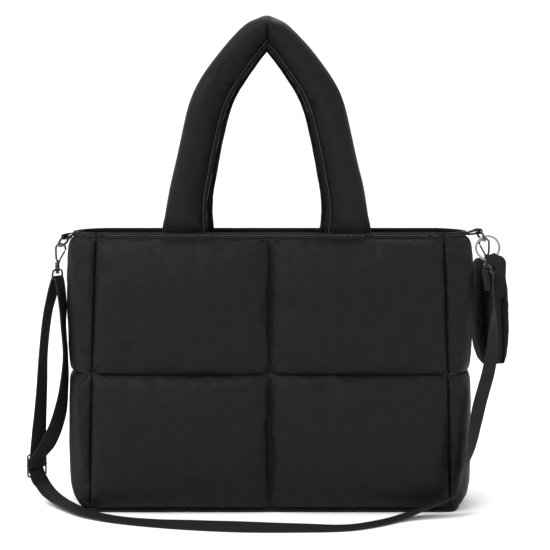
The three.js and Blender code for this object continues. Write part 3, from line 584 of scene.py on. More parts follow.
def quilted_wall(name, place, outward, across_seams, columns, rows, puff, height, seed):
    hem_start, hem_rows = 1 - hem_height / height, 3
    up_seams = (0, 0.5, 1)
    tucks = wall_tucks(place, across_seams, seed)

    def cover_offset(lift, point, stitched, flat_at):
        if stitched:
            on_hem = point.z > place(0.5, hem_start).z + 0.3 * MM
            pucker = 1 + 0.9 * noise.noise(point * 210) + 0.5 * noise.noise(point * 90)
            return seam_thickness / 2 - COVER_SINK + (HEM_ROLL * pucker if on_hem else 0)
        wobble = noise.noise(point * 55 + Vector((seed, 0, 0))) * 0.5 + noise.noise(point * 150) * 0.25
        return seam_thickness / 2 - COVER_SINK + puff * lift + wobble * MM - tuck_depth(flat_at, tucks)

    def lining_offset(lift, point, stitched, flat_at):
        wobble = 0 if stitched else noise.noise(point * 40 + Vector((0, seed, 0))) * 0.9 * MM
        return -seam_thickness / 2 - (lining_puff - LINING_SINK) * lift + wobble * lift

    laid = (place, outward, across_seams, up_seams, columns, rows, hem_rows, hem_start)
    cover_grid, pinned = wall_grid(*laid, cover_offset)
    cover = blow_up(cover_grid, pinned, WALL_PRESSURE, WALL_GROWTH, WALL_FRAMES, WALL_MOST)
    inside_grid, _ = wall_grid(*laid, lining_offset)
    bmesh.ops.reverse_faces(inside_grid, faces=inside_grid.faces[:])
    wall = closed_wall(name, cover, mesh_from(inside_grid, "shaded_lining"))
    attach(wall, "bag")
    return wall


# %% [markdown]
# ## Front and back panels
#
# Both panels lean in towards the mouth, because the base is deeper than the rim. The back one is cut four
# millimetres higher and is otherwise the same panel, so it gets its own grid and its own gathers.


# %% Make the panels
PANEL_COLUMNS, GUSSET_COLUMNS, WALL_ROWS = 116, 56, 90


def rim_of(side):
    return rim_height + (back_rim_rise if side > 0 else 0)


def panel_place(side):
    height = rim_of(side) - wall_foot

    def place(s, t):
        x = (2 * s - 1) * (half_width(t) + seam_gap)
        return Vector((x, side * half_depth(t), wall_foot + height * t))

    return place, height


def make_panel(node, side, seed):
    place, height = panel_place(side)
    wall = quilted_wall(
        node + "_cloth",
        place,
        lambda s: Vector((0, side, 0)),
        (0, 0.5, 1),
        PANEL_COLUMNS,
        WALL_ROWS,
        panel_puff,
        height,
        seed,
    )
    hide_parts(node)
    return wall


front = make_panel("front_panel", -1, 3.1)
back = make_panel("back_panel", 1, 8.7)
print("front panel faces", len(front.data.polygons), "back panel faces", len(back.data.polygons))

# %% [markdown]
# ## Gussets
#
# A gusset is one strip of quilting that turns round the end of the bag in half an oval. It narrows with
# the bag and stands out past the side seams, and one seam across it carries on the line of the panels.


# %% Make the gussets
def make_gusset(node, side, seed):
    def place(s, t):
        top = rim_height + back_rim_rise * s
        x = side * (half_width(t) + seam_gap / 2 + flare_at(t) * sin(pi * s))
        return Vector((x, -half_depth(t) * cos(pi * s), wall_foot + (top - wall_foot) * t))

    wall = quilted_wall(
        node + "_cloth",
        place,
        lambda s: Vector((side * sin(pi * s), -cos(pi * s), 0)),
        (0, 1),
        GUSSET_COLUMNS,
        WALL_ROWS,
        gusset_puff,
        rim_height - wall_foot,
        seed,
    )
    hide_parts(node)
    return wall


gussets = make_gusset("gusset_left", -1, 1.7), make_gusset("gusset_right", 1, 6.2)
print("gusset faces", [len(gusset.data.polygons) for gusset in gussets])

# %% [markdown]
# ## Base
#
# The base closes the walls from below. It is a flat padded panel with the walls' own outline, made from
# one closed outline that is extruded and inset level by level.


# %% Make the base
BASE_LEVELS = ((0.14, 0), (0.224, 0.55), (0.42, 0.88), (0.7, 1))
base_bevel, base_bevel_rise = 0.8 * MM, 0.9 * MM


def base_outline(inset):
    steps, points = 24, []
    for side in (1, -1):
        for i in range(steps + 1):
            angle = pi * i / steps
            out = flare_at(0) + seam_thickness / 2 - inset
            deep = half_depth(0) + seam_thickness / 2 - inset
            points.append((side * (half_width(0) + out * sin(angle)), -side * deep * cos(angle)))
    return points


bm = bmesh.new()
bmesh.ops.create_circle(bm, cap_ends=False, segments=len(base_outline(0)), radius=1)
bm.verts.ensure_lookup_table()
ring = list(bm.verts)
for v, (x, y) in zip(ring, base_outline(base_bevel)):
    v.co = (x, y, 0)
bm.normal_update()
floor_face = bmesh.ops.contextual_create(bm, geom=bm.edges[:])["faces"]
levels = [(0.0, base_bevel_rise), (0.0, base_thickness)]
levels += [(half_depth(0) * inset, base_thickness + base_puff * rise) for inset, rise in BASE_LEVELS]
edges = list(floor_face[0].edges)
for inset, height in levels:
    moved = bmesh.ops.extrude_edge_only(bm, edges=edges)["geom"]
    edges = [g for g in moved if isinstance(g, bmesh.types.BMEdge)]
    order = {v: None for v in (g for g in moved if isinstance(g, bmesh.types.BMVert))}
    for v, (x, y) in zip(sorted(order, key=lambda v: v.index), base_outline(inset)):
        v.co = (x, y, height)
    bm.verts.index_update()
bmesh.ops.contextual_create(bm, geom=edges)
bmesh.ops.recalc_face_normals(bm, faces=bm.faces[:])
base = finish_mesh(bm, "base_cloth", nylon)
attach(base, "bag")
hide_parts("base_panel")
print("base faces", len(base.data.polygons))

# %% [markdown]
# ## Curves and bands
#
# Handles, webbing and wires all follow a curve through a short table of stops. Blender's own curve
# objects could carry them, but a band also has to say which way its flat side faces at each stop, so the
# curve is calculated here. A band is then a grid whose rows are laid along it, and Solidify gives it its
# thickness.


# %% Draw a curve through stops
def curve_point(stops, share, closed=False, pull=None):
    """A point on the centripetal curve through the stops, or on a plain one where pull is given."""
    count = len(stops)
    way = (count if closed else count - 1) * share
    start = min(int(way), count - 1 if closed else count - 2)
    t = way - start
    p1, p2 = stops[start % count], stops[(start + 1) % count]
    p0 = stops[(start - 1) % count] if closed or start > 0 else p1 * 2 - p2
    p3 = stops[(start + 2) % count] if closed or start + 2 < count else p2 * 2 - p1
    if pull is not None:
        m1, m2 = (p2 - p0) * pull, (p3 - p1) * pull
    else:
        d1 = (p2 - p1).length ** 0.5 or 1
        d0, d2 = (p1 - p0).length ** 0.5 or d1, (p3 - p2).length ** 0.5 or d1
        m1 = ((p1 - p0) / d0 - (p2 - p0) / (d0 + d1) + (p2 - p1) / d1) * d1
        m2 = ((p2 - p1) / d1 - (p3 - p1) / (d1 + d2) + (p3 - p2) / d2) * d1
    return p1 + m1 * t + (p1 * -3 + p2 * 3 - m1 * 2 - m2) * t**2 + (p1 * 2 - p2 * 2 + m1 + m2) * t**3


def curve_points(stops, steps, closed=False):
    return [curve_point(stops, k / steps, closed) for k in range(steps if closed else steps + 1)]


def points_and_faces(stops, fineness=5, pull=0.3):
    """Fine points and facings through stops. A stop is a place and the way that a width runs there."""
    steps = fineness * (len(stops) - 1)
    facings = [face for _, face in stops]
    faces = [curve_point(facings, k / steps, pull=pull) for k in range(steps + 1)]
    return curve_points([at for at, _ in stops], steps), faces


def across_path(points, faces):
    """For each point of a path its direction across, square to the path, and its upright direction."""
    frames = []
    for k, (point, face) in enumerate(zip(points, faces)):
        ahead = (points[min(k + 1, len(points) - 1)] - points[max(k - 1, 0)]).normalized()
        across = (face - ahead * face.dot(ahead)).normalized()
        frames.append((point, across, ahead.cross(across)))
    return frames


# %% Lay a band along a path
def laid_grid(columns, rows):
    """A grid with a cloth map, and for each point its column and row."""
    bm = bmesh.new()
    bm.verts.layers.int.new("stitched")
    uv = bm.loops.layers.uv.new("cloth")
    bmesh.ops.create_grid(bm, x_segments=columns, y_segments=rows, size=0.5, calc_uvs=True)
    cells = [(v, round((v.co.x + 0.5) * columns), round((v.co.y + 0.5) * rows)) for v in bm.verts]
    return bm, uv, cells


RIPPLE_SCALE = 130


def band_mesh(points, faces, width, columns=6, wave=0.0, seed=0.0, widths=None):
    frames, far = across_path(points, faces), walked(points)
    bm, uv, cells = laid_grid(columns, len(points) - 1)
    for v, i, j in cells:
        point, across, upright = frames[j]
        share = i / columns - 0.5
        ripple = wave * noise.noise(Vector((far[j] * RIPPLE_SCALE, share * 1.5, seed)))
        v.co = point + across * share * width * (widths[j] if widths else 1) + upright * ripple
    rows = len(points) - 1
    for face in bm.faces:
        for loop in face.loops:
            across_share, j = loop[uv].uv.x - 0.5, round(loop[uv].uv.y * rows)
            loop[uv].uv = (across_share * width, far[j])
    return bm


def band_piece(name, bm, thickness, material, body, rounding=0.3 * MM):
    made = finish_mesh(bm, name, material)
    solid = made.modifiers.new("thickness", "SOLIDIFY")
    solid.thickness, solid.offset = thickness, 0
    soft = made.modifiers.new("soft edge", "BEVEL")
    soft.width, soft.segments, soft.limit_method, soft.angle_limit = rounding, 2, "ANGLE", radians(50)
    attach(made, body)
    return made


# %% Turn a path into a wire, and a profile into a turned part
def wire_mesh(path, diameter, closed=False, ends=1.0):
    curve = bpy.data.curves.new("wire", "CURVE")
    curve.dimensions, curve.bevel_depth, curve.bevel_resolution = "3D", diameter / 2, 4
    curve.use_fill_caps = not closed
    spline = curve.splines.new("POLY")
    spline.points.add(len(path) - 1)
    for point, at in zip(spline.points, path):
        point.co = (*at, 1)
    spline.points[0].radius = spline.points[-1].radius = ends
    spline.use_cyclic_u = closed
    holder = bpy.data.objects.new("wire", curve)
    scene.collection.objects.link(holder)
    mesh = bpy.data.meshes.new_from_object(holder.evaluated_get(bpy.context.evaluated_depsgraph_get()))
    bpy.data.objects.remove(holder)
    return mesh


def turned_mesh(profile, centre, rounding=0.2 * MM, closed=False):
    """Spins rows of radius and height round an upright axis, and rounds its sharp edges."""
    bm = bmesh.new()
    rim = [bm.verts.new((radius, 0, height)) for radius, height in profile]
    pairs = list(zip(rim, rim[1:])) + ([(rim[-1], rim[0])] if closed else [])
    edges = [bm.edges.new(pair) for pair in pairs]
    full_turn = {"axis": (0, 0, 1), "cent": (0, 0, 0), "angle": 2 * pi, "steps": 32, "use_merge": True}
    bmesh.ops.spin(bm, geom=rim + edges, **full_turn)
    bmesh.ops.remove_doubles(bm, verts=bm.verts, dist=1e-6)
    bmesh.ops.recalc_face_normals(bm, faces=bm.faces[:])
    sharp = [e for e in bm.edges if len(e.link_faces) == 2 and e.calc_face_angle() > radians(40)]
    bmesh.ops.bevel(bm, geom=sharp, offset=rounding, segments=2, profile=0.5, affect="EDGES", material=-1)
    bmesh.ops.translate(bm, verts=bm.verts, vec=centre)
    return mesh_from(bm, "turned")


def joined_piece(name, meshes, material, body, node):
    bm = bmesh.new()
    for mesh in meshes:
        bm.from_mesh(mesh)
    made = finish_mesh(bm, name, material)
    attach(made, body)
    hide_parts(node)
    return made


# %% Sew a row of stitches
def sew(bm, points, length=2.1 * MM, pitch=3.0 * MM, width=0.5 * MM):
    """Adds small rounded stitches along a path, and gives their number."""
    far, k, made = walked(points), 0, 0
    at = pitch / 2
    while at < far[-1]:
        while far[k + 1] < at:
            k += 1
        t = (at - far[k]) / (far[k + 1] - far[k])
        place, ahead = points[k].lerp(points[k + 1], t), points[k + 1] - points[k]
        shape = Matrix.Diagonal((length / 2, width / 2, width / 2, 1))
        turn = ahead.to_track_quat("X", "Z").to_matrix().to_4x4()
        there = Matrix.Translation(place) @ turn @ shape
        bmesh.ops.create_icosphere(bm, subdivisions=1, radius=1, matrix=there)
        at, made = at + pitch, made + 1
    return made


# %% [markdown]
# ## Handles
#
# A handle is a cloth tube round a fat roll of filling, bent to a pointed arch and sewn up along its inner
# edge. Bending a tube crowds the cloth on the inside, and that is where the real ones buckle. The grid is
# wrapped round the path with its two long edges at the seam and its cloth is made three hundredths too
# long. The few deep buckles are drawn in from a short table, and the simulation finds the small gathers
# round them. The seam allowance stands inwards as a flat double strip with its own row of stitches.

# %% Read the path of a handle
HANDLE_ROWS = (
    (1.0, -1, 1.34, 0, 0),
    (1.0, -0.2, 1.34, 0, 0),
    (1.0, 0.012, 1.32, 0.08, 0.06),
    (0.985, 0.08, 1.16, 0.72, 0.8),
    (0.945, 0.2, 1.02, 0.95, 1.12),
    (0.85, 0.37, 0.97, 1, 1.12),
    (0.77, 0.54, 0.97, 1, 1.04),
    (0.7, 0.65, 0.96, 1, 1),
    (0.57, 0.75, 0.88, 1.02, 1),
    (0.32, 0.885, 0.82, 1.02, 1),
    (0.1, 0.985, 0.78, 1.02, 1),
)

# The back handle hangs a little inside the front one, and shows in its arch.
back_drawn_in = 4.5 * MM
ease_ends, ease_arms, arms_start, arms_stop = 5, 45, 0.3, 0.88
tube_around, tube_along = 32, 170


def handle_path(side, steps):
    """Points and sizes from foot to foot. The columns are shares of span, rise, width, depth and lean."""
    rim = rim_of(side)
    foot = mouth_depth / 2 - seam_thickness / 2 - handle_foot_gap - handle_foot_thickness / 2
    drawn_in = back_drawn_in if side > 0 else 0
    top = (0, 1, *HANDLE_ROWS[-1][2:])
    rows = [(-out, *rest) for out, *rest in HANDLE_ROWS] + [top, *reversed(HANDLE_ROWS)]
    places, sizes = [], []
    for out, rise, width, depth, lean in rows:
        up = rise * (handle_tuck if rise < 0 else handle_rise - drawn_in)
        x = handle_offset + out * (handle_span / 2 - drawn_in)
        places.append(Vector((x, side * (foot + (handle_lean - foot) * lean), rim + up)))
        deep = handle_foot_thickness + (handle_depth - handle_foot_thickness) * depth
        sizes.append(Vector((width * handle_width, deep, 0)))
    path, section = curve_points(places, steps), curve_points(sizes, steps)
    arms = [arms_start < (p.z - rim) / handle_rise < arms_stop for p in path][1:-1]
    for turn in range(ease_arms):
        for row in (path, section):
            eased = [(a + b * 2 + c) / 4 for a, b, c in zip(row, row[1:], row[2:])]
            choices = zip(row[1:-1], eased, arms)
            row[1:-1] = [new if turn < ease_ends or arm else old for old, new, arm in choices]
    return path, section


print("handle path", round(walked(handle_path(-1, 160)[0])[-1], 3), "m")

# %% Wrap and fill the handles
BUCKLES = (
    # side of the arch, rise, depth, half length, angle round the tube where it is deepest
    (-1, 0.762, 3.4 * MM, 3.2 * MM, -0.3),
    (-1, 0.715, 2.2 * MM, 2.8 * MM, -0.4),
    (1, 0.665, 3.2 * MM, 3.2 * MM, -0.3),
    (1, 0.63, 1.8 * MM, 2.8 * MM, -0.4),
    (1, 0.72, 1.6 * MM, 2.8 * MM, 0.4),
    (-1, 0.996, 3.6 * MM, 2.4 * MM, -1.2),
)
crown_starts, crown_shift, arm_overlap = 0.95, 1.5 * MM, 3 * MM


def handle_buckle(point, angle, rim, flip):
    """How deep the buckles cut in at an angle round the tube. The one at the crown runs across the arch."""
    depth = 0
    for arm, rise, deep, reach, deepest in BUCKLES:
        if (point.x - handle_offset) * arm * flip < -arm_overlap:
            continue
        at_crown = rise > crown_starts
        away = (point.z - rim - rise * handle_rise) / reach
        if at_crown:
            away = (point.x - handle_offset - crown_shift * flip) / reach
            if point.z < rim + 0.9 * handle_rise:
                continue
        spread = 1.25 if at_crown else 0.8
        near = abs(angle - deepest) < 1.5 * spread
        depth += deep * exp(-away * away) * (max(0.0, cos((angle - deepest) / spread)) if near else 0)
    return depth


GATHER_SCALE, GATHER_DEPTH, WAVE_SCALE, WAVE_DEPTH = 160, 0.8 * MM, 28, 0.4 * MM
HANDLE_PRESSURE, HANDLE_GROWTH, HANDLE_FRAMES, HANDLE_MOST = 1.2, 0.028, 14, 3.2 * MM


def make_handle(node, side, seed):
    around, along = tube_around, tube_along
    points, sizes = handle_path(side, along)
    frames, far = across_path(points, [Vector((0, 1, 0))] * len(points)), walked(points)
    bm, uv, cells = laid_grid(around, along)
    stitched = bm.verts.layers.int["stitched"]
    for v, i, j in cells:
        point, across, upright = frames[j]
        turn = 2 * pi * i / around
        angle = turn if turn <= pi else turn - 2 * pi
        dent = handle_buckle(point, angle, rim_of(side), -side)
        gather = GATHER_DEPTH * noise.noise(Vector((far[j] * GATHER_SCALE, seed, 0))) * exp(-abs(angle) * 2.2)
        wave = noise.noise(Vector((far[j] * WAVE_SCALE, angle * 0.7, seed))) * WAVE_DEPTH
        swell = (wave - dent + gather) * sizes[j].y / handle_depth
        deep, wide = sizes[j].y / 2 + swell, sizes[j].x / 2 + swell * (0 if i in (0, around) else 1)
        v.co = point + across * deep * sin(turn) - upright * wide * cos(turn)
        v[stitched] = int(i in (0, around) or j in (0, along))
    for face in bm.faces:
        for loop in face.loops:
            loop[uv].uv = (loop[uv].uv.x * pi * handle_width, far[round(loop[uv].uv.y * along)])
    bmesh.ops.remove_doubles(bm, verts=bm.verts, dist=1e-6)
    bmesh.ops.holes_fill(bm, edges=[e for e in bm.edges if e.is_boundary], sides=0)
    bmesh.ops.recalc_face_normals(bm, faces=bm.faces[:])
    pinned = {v.index for v in bm.verts if v[stitched]}
    blown = blow_up(bm, pinned, HANDLE_PRESSURE, HANDLE_GROWTH, HANDLE_FRAMES, HANDLE_MOST)
    bm = bmesh.new()
    bm.from_mesh(blown)
    tube = smoothed(finish_mesh(bm, node + "_cloth", nylon))
    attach(tube, "bag")
    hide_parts(node)
    return tube


STRIP_WAVE, STRIP_UNEVEN, STITCH_RISE = 1.3 * MM, 0.07, 1.1 * MM


def make_handle_seam(node, side, seed):
    """Makes the flat strip along the inner edge of a handle, and gives the path of its stitches."""
    points, sizes = handle_path(side, tube_along)
    frames = across_path(points, [Vector((0, 1, 0))] * len(points))
    first = next(k for k, p in enumerate(points) if p.z > rim_height - 2 * MM)
    middle = [
        p - upright * (size.x / 2 + (strip_reach - strip_root) / 2)
        for (p, _, upright), size in zip(frames[first:-first], sizes[first:-first])
    ]
    faces = [upright for _, _, upright in frames[first:-first]]
    wide = strip_reach + strip_root
    strip_widths = [1 + STRIP_UNEVEN * noise.noise(p * 120) for p in middle]
    bm = band_mesh(middle, faces, wide, 4, STRIP_WAVE, seed, strip_widths)
    strip = band_piece(node + "_seam", bm, strip_thickness * 0.7, seam_nylon_painted_shade, "bag", 0.5 * MM)
    far, raised = walked(middle), strip_thickness * 0.35 + 0.12 * MM
    line = []
    for p, up, (_, _, flat_side), way in zip(middle, faces, across_path(middle, faces), far):
        ripple = STRIP_WAVE * noise.noise(Vector((way * RIPPLE_SCALE, 0.3, seed)))
        outwards = raised if flat_side.y * side > 0 else -raised
        line.append(p + up * STITCH_RISE + flat_side * (ripple + outwards))
    return line


handles = make_handle("front_handle", -1, 2.3), make_handle("back_handle", 1, 5.9)
front_line = make_handle_seam("front_handle", -1, 4.4)
back_line = make_handle_seam("back_handle", 1, 7.1)
print("handle faces", [len(handle.data.polygons) for handle in handles], "seam strip rows", len(front_line))

# %% [markdown]
# ## Stitches
#
# The only stitches in plain view are those of the rim, of the handles' seam strips and of the gussets'
# cross seams. Each is a small egg of twenty faces, because there are hundreds of them.

# %% Sew the rim, the strips and the cross seams
# Each row has a length, a pitch and a width.
RIM_STITCH, STRIP_STITCH = (2.4 * MM, 3.2 * MM, 0.8 * MM), (2.2 * MM, 2.9 * MM, 0.75 * MM)
STITCH_OUT = seam_thickness / 2 - 0.35 * MM + HEM_ROLL
bm = bmesh.new()
counts = {}
for side, name in ((-1, "front rim"), (1, "back rim")):
    place, height = panel_place(side)
    share = 1 - hem_height * 0.5 / height
    run = [place(k / 60, share) + Vector((0, side * STITCH_OUT, 0)) for k in range(1, 60)]
    counts[name] = sew(bm, run, *RIM_STITCH)
for side, name in ((-1, "left gusset"), (1, "right gusset")):
    for share in (1 - hem_height * 0.5 / rim_height, 0.5 * (1 - hem_height / (rim_height - wall_foot))):
        run = []
        for k in range(1, 40):
            s = k / 40
            z = wall_foot + (rim_height + back_rim_rise * s - wall_foot) * share
            out = half_width(share) + (flare_at(share) + STITCH_OUT) * sin(pi * s)
            run.append(Vector((side * out, -(half_depth(share) + STITCH_OUT) * cos(pi * s), z)))
        counts[name] = counts.get(name, 0) + sew(bm, run)
for line, name in ((front_line, "front strip"), (back_line, "back strip")):
    counts[name] = sew(bm, line, *STRIP_STITCH)
stitches = finish_mesh(bm, "stitches", thread)
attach(stitches, "bag")
print("stitches", counts)

# %% [markdown]
# ## Tabs, rings and hooks
#
# At each end of the mouth a folded tab holds a D-ring, a snap hook hangs in it, and the hook's swivel
# carries the ring of the strap. Bent wire is simplest as a curve with a round bevel, turned parts are
# profiles that are spun, and both are made to the sizes of the frame, because the hooks turn in their
# collars.

# %% Work out where everything hangs
ring_wire, d_ring_width, d_ring_height = 2.6 * MM, 18 * MM, 12 * MM
tab_width, tab_thickness = 12.5 * MM, 1.5 * MM
hook_wire, hook_height, hook_width, gate_wire, nose_share = 2.2 * MM, 20.3 * MM, 10.3 * MM, 1.8 * MM, 0.66
barrel_radius, barrel_height, post_radius, post_head_radius = 2.7 * MM, 6 * MM, 1.2 * MM, 2.1 * MM
post_head_height, swivel_clearance, collar_height = 2.2 * MM, 0.35 * MM, 3 * MM
strap_ring_height, strap_ring_width = 10.5 * MM, 22 * MM
D_SLANT = radians(31)


def hanging(name, side, bar_out, bar_rise, yaw, hook_shift):
    """Where the D-ring's bar, the hook's barrel and the strap's ring are at one end of the mouth."""
    rim_x = half_width(1) + seam_gap / 2 + flare_at(1) + seam_thickness / 2
    axis = Vector((-side * sin(radians(yaw)), cos(radians(yaw)), 0))
    bar = Vector((side * (rim_x + bar_out), 0, rim_height + bar_rise))
    down = Vector((side * sin(D_SLANT), 0, -cos(D_SLANT)))
    eye = bar + down * d_ring_height
    crook_top = eye.z + ring_wire / 2 + touch + hook_wire / 2
    barrel = Vector((eye.x + side * hook_shift, 0, crook_top - hook_height))
    ring_top = barrel.z - barrel_height - swivel_clearance
    ring_bar = Vector((barrel.x, 0, ring_top - strap_ring_height))
    return SimpleNamespace(
        name=name,
        side=side,
        axis=axis,
        bar=bar,
        down=down,
        rim_x=rim_x,
        barrel=barrel,
        ring_top=ring_top,
        ring_bar=ring_bar,
    )


left = hanging("left", -1, 9 * MM, -5 * MM, 18, 3.7 * MM)
right = hanging("right", 1, 13.5 * MM, 1 * MM, 10, 4.2 * MM)
print("swivel axes", [tuple(round(c, 5) for c in h.barrel) for h in (left, right)])


# %% Bend the D-rings and fold the tabs
def d_ring_drop(along):
    half = d_ring_width / 2
    return d_ring_height / 2 * (1 + sqrt(max(0, 1 - (along / half) ** 2)))


def make_d_ring(at):
    half = d_ring_width / 2
    spots = [(-half * 0.5, 0), (0, 0), (half * 0.5, 0), (half * 0.92, 0.08 * half)]
    spots += [(half * cos(pi * k / 14), d_ring_drop(half * cos(pi * k / 14))) for k in range(15)]
    spots += [(-half * 0.92, 0.08 * half)]
    stops = [at.bar + at.axis * along + at.down * drop for along, drop in spots]
    ring = wire_mesh(curve_points(stops, 100, True), ring_wire, True)
    return joined_piece("d_ring_%s_wire" % at.name, [ring], silver, "bag", "d_ring_" + at.name)


def make_tab(at):
    bend = ring_wire / 2 + touch + tab_thickness / 2
    root = Vector((at.side * (at.rim_x + touch + tab_thickness / 2), 0, rim_height - hem_height * 0.3))
    to_root = root - at.bar
    to_root = (to_root - at.axis * to_root.dot(at.axis)).normalized()
    up = at.axis.cross(to_root)
    up = up if up.z > 0 else -up
    spread = tab_thickness / 2 + touch / 2
    arc = []
    for k in range(9):
        turn = radians(110 - 220 * k / 8)
        arc.append(at.bar + (to_root * -cos(turn) + up * sin(turn)) * bend)

    def layer(sign):
        return [at.bar + to_root * bend * 1.6 + up * sign * bend * 0.8, root + up * sign * spread]

    stops = [*reversed(layer(1)), *arc, *layer(-1)]
    points = curve_points(stops, 60)
    faces = [Vector((0, 1, 0)).lerp(at.axis, min(1, min(k, 60 - k) / 8)) for k in range(61)]
    bm = band_mesh(points, faces, tab_width)
    tab = band_piece("tab_%s_band" % at.name, bm, tab_thickness, webbing, "bag")
    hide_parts("tab_" + at.name)
    return tab


for at in (left, right):
    make_d_ring(at)
    make_tab(at)
print("D-rings and tabs made")


# %% Bend the hooks, turn their barrels and close their gates
GATE_HINGE = (1.95 * MM, 1.5 * MM)
CHEEK_INSIDE, CHEEK_OUTSIDE = 1.05 * MM, 1.75 * MM


def hook_spot(at, u, v):
    """u runs from the swivel's axis towards the bag and v up from the top of the barrel."""
    return Vector((at.barrel.x - at.side * u, 0, at.barrel.z + v))


def make_hook(at):
    spine, radius = -hook_wire * 0.6, hook_width / 2
    crook = spine + radius
    shank = ((0, -1 * MM), (0, 1 * MM), (spine * 0.8, 4.5 * MM), (spine, hook_height * 0.5))
    stops = [hook_spot(at, *p) for p in shank]
    for k in range(9):
        turn = pi * (1 - k / 8)
        stops.append(hook_spot(at, crook + radius * cos(turn), hook_height - radius + radius * sin(turn)))
    stops.append(hook_spot(at, crook + radius, hook_height * nose_share))
    crook_wire = wire_mesh(curve_points(stops, 90), hook_wire, ends=0.8)
    low = -barrel_height
    post = low - swivel_clearance * 2 - collar_height
    neck = barrel_radius * 0.86
    profile = (
        (0, post - post_head_height), (post_head_radius, post - post_head_height), (post_head_radius, post),
        (post_radius, post), (post_radius, low), (barrel_radius, low), (barrel_radius, low * 0.78),
        (neck, low * 0.68), (neck, low * 0.3), (barrel_radius, low * 0.2), (barrel_radius, 0), (0, 0),
    )
    barrel = turned_mesh(profile, at.barrel)
    hinge = hook_spot(at, *GATE_HINGE)
    cheeks = []
    for side in (-1, 1):
        ends = [hinge + Vector((0, y * side, 0)) for y in (CHEEK_INSIDE, CHEEK_OUTSIDE)]
        cheeks.append(wire_mesh(ends, GATE_HINGE[1] * 2))
    steel = [crook_wire, barrel, *cheeks]
    joined_piece("hook_%s_steel" % at.name, steel, silver, at.name + "_hook", "hook_" + at.name)
    tip_u, tip_v = spine + hook_width - touch * 2, hook_height * nose_share - gate_wire * 0.32
    gate = wire_mesh(curve_points([hinge, hook_spot(at, tip_u, tip_v)], 12), gate_wire, ends=0.95)
    joined_piece("gate_%s_bar" % at.name, [gate], gunmetal, at.name + "_gate", "gate_" + at.name)


def make_strap_ring(at):
    half = strap_ring_width / 2
    high, low = at.ring_top - collar_height / 2, at.ring_bar.z
    rows = [(0.22, 1), (0.5, 1), (0.85, 0.9), (1, 0.6), (1, 0.12), (0.95, 0), (0.45, 0), (0, 0)]
    both = [(a, h, 1) for a, h in rows] + [(a, h, -1) for a, h in reversed(rows[:-1])]
    stops = []
    for along, height, sign in both:
        flat_at = Vector((at.barrel.x, 0, low + (high - low) * height))
        stops.append(flat_at + at.axis * along * half * sign)
    ring = wire_mesh(curve_points(stops, 110), hook_wire)
    inner = post_radius + swivel_clearance
    section = ((inner, -collar_height), (barrel_radius, -collar_height), (barrel_radius, 0), (inner, 0))
    collar = turned_mesh(section, Vector((at.barrel.x, 0, at.ring_top)), 0.25 * MM, True)
    name = "strap_ring_" + at.name
    joined_piece(name + "_wire", [ring, collar], silver, "bag", name)


for at in (left, right):
    make_hook(at)
    make_strap_ring(at)
print("hooks, gates and strap rings made")

# %% [markdown]
# ## Shoulder strap and slider
#
# The strap is one length of ribbed webbing: sewn round the slider's middle bar, up through the left ring,
# back down through the slider, over the floor and up to the right ring. Webbing is stiff across and limp
# along, so it keeps its width and only turns and bends. That is what a band along a path does, so it
# needs no simulation.

# %% Lay the strap's runs
strap_width, strap_thickness = 18 * MM, 1.4 * MM
slider_width, slider_spacing, slider_wire = 22 * MM, 12 * MM, 2.2 * MM
# A row gives shares of half the panel's width, half the base's depth and the rim's height, and the facing.
INNER_RUN = (
    (-1.355, -0.221, 0.1742, (0.77, 0.64, 0)),
    (-1.299, -0.268, 0.223, (0.85, 0.5, 0)),
    (-1.234, -0.357, 0.3171, (0.7, 0.7, 0)),
    (-1.196, -0.446, 0.4355, (0.35, 0.93, 0)),
    (-1.183, -0.482, 0.5575, (0.1, 1, 0)),
    (-1.196, -0.43, 0.662, (0.1, 1, 0)),
    (-1.209, -0.25, 0.7456, (0.25, 0.96, 0)),
)
OUTER_RUN = (
    (-1.278, -0.036, 0.7735, (0.4, 0.91, 0)),
    (-1.304, -0.071, 0.7021, (0.33, 0.94, 0)),
    (-1.33, -0.107, 0.561, (0.32, 0.95, 0)),
    (-1.341, -0.125, 0.4286, (0.45, 0.9, 0)),
    (-1.35, -0.143, 0.3401, (0.55, 0.84, 0)),
    (-1.359, -0.179, 0.2509, (0.7, 0.7, 0)),
)
FLOOR_RUN = (
    (-1.345, -0.161, 0.0697, (0.8, 0.6, 0)),
    (-1.304, -0.286, 0.0436, (0.8, 0.6, 0.1)),
    (-1.239, -0.536, 0.0261, (0.8, 0.6, 0.05)),
    (-1.136, -0.964, 0.0174, (0.72, 0.7, 0)),
    (-1.043, -1.304, 0.0132, (0.62, 0.78, 0)),
    (-0.878, -1.661, 0.0084, (0.45, 0.89, 0.05)),
    (-0.668, -1.946, 0.0084, (0.3, 0.95, 0.12)),
    (-0.424, -2.179, 0.0118, (0.15, 0.95, 0.25)),
    (-0.163, -2.321, 0.0132, (0.05, 0.95, 0.29)),
    (0.136, -2.339, 0.0105, (-0.05, 0.98, 0.18)),
    (0.418, -2.25, 0.0063, (-0.2, 0.97, 0.03)),
    (0.565, -2.0, 0.0063, (-0.42, 0.9, -0.04)),
    (0.717, -1.625, 0.0091, (-0.45, 0.89, -0.08)),
    (0.867, -1.446, 0.0348, (-0.25, 0.95, -0.15)),
    (0.951, -1.438, 0.054, (-0.15, 0.96, -0.2)),
)
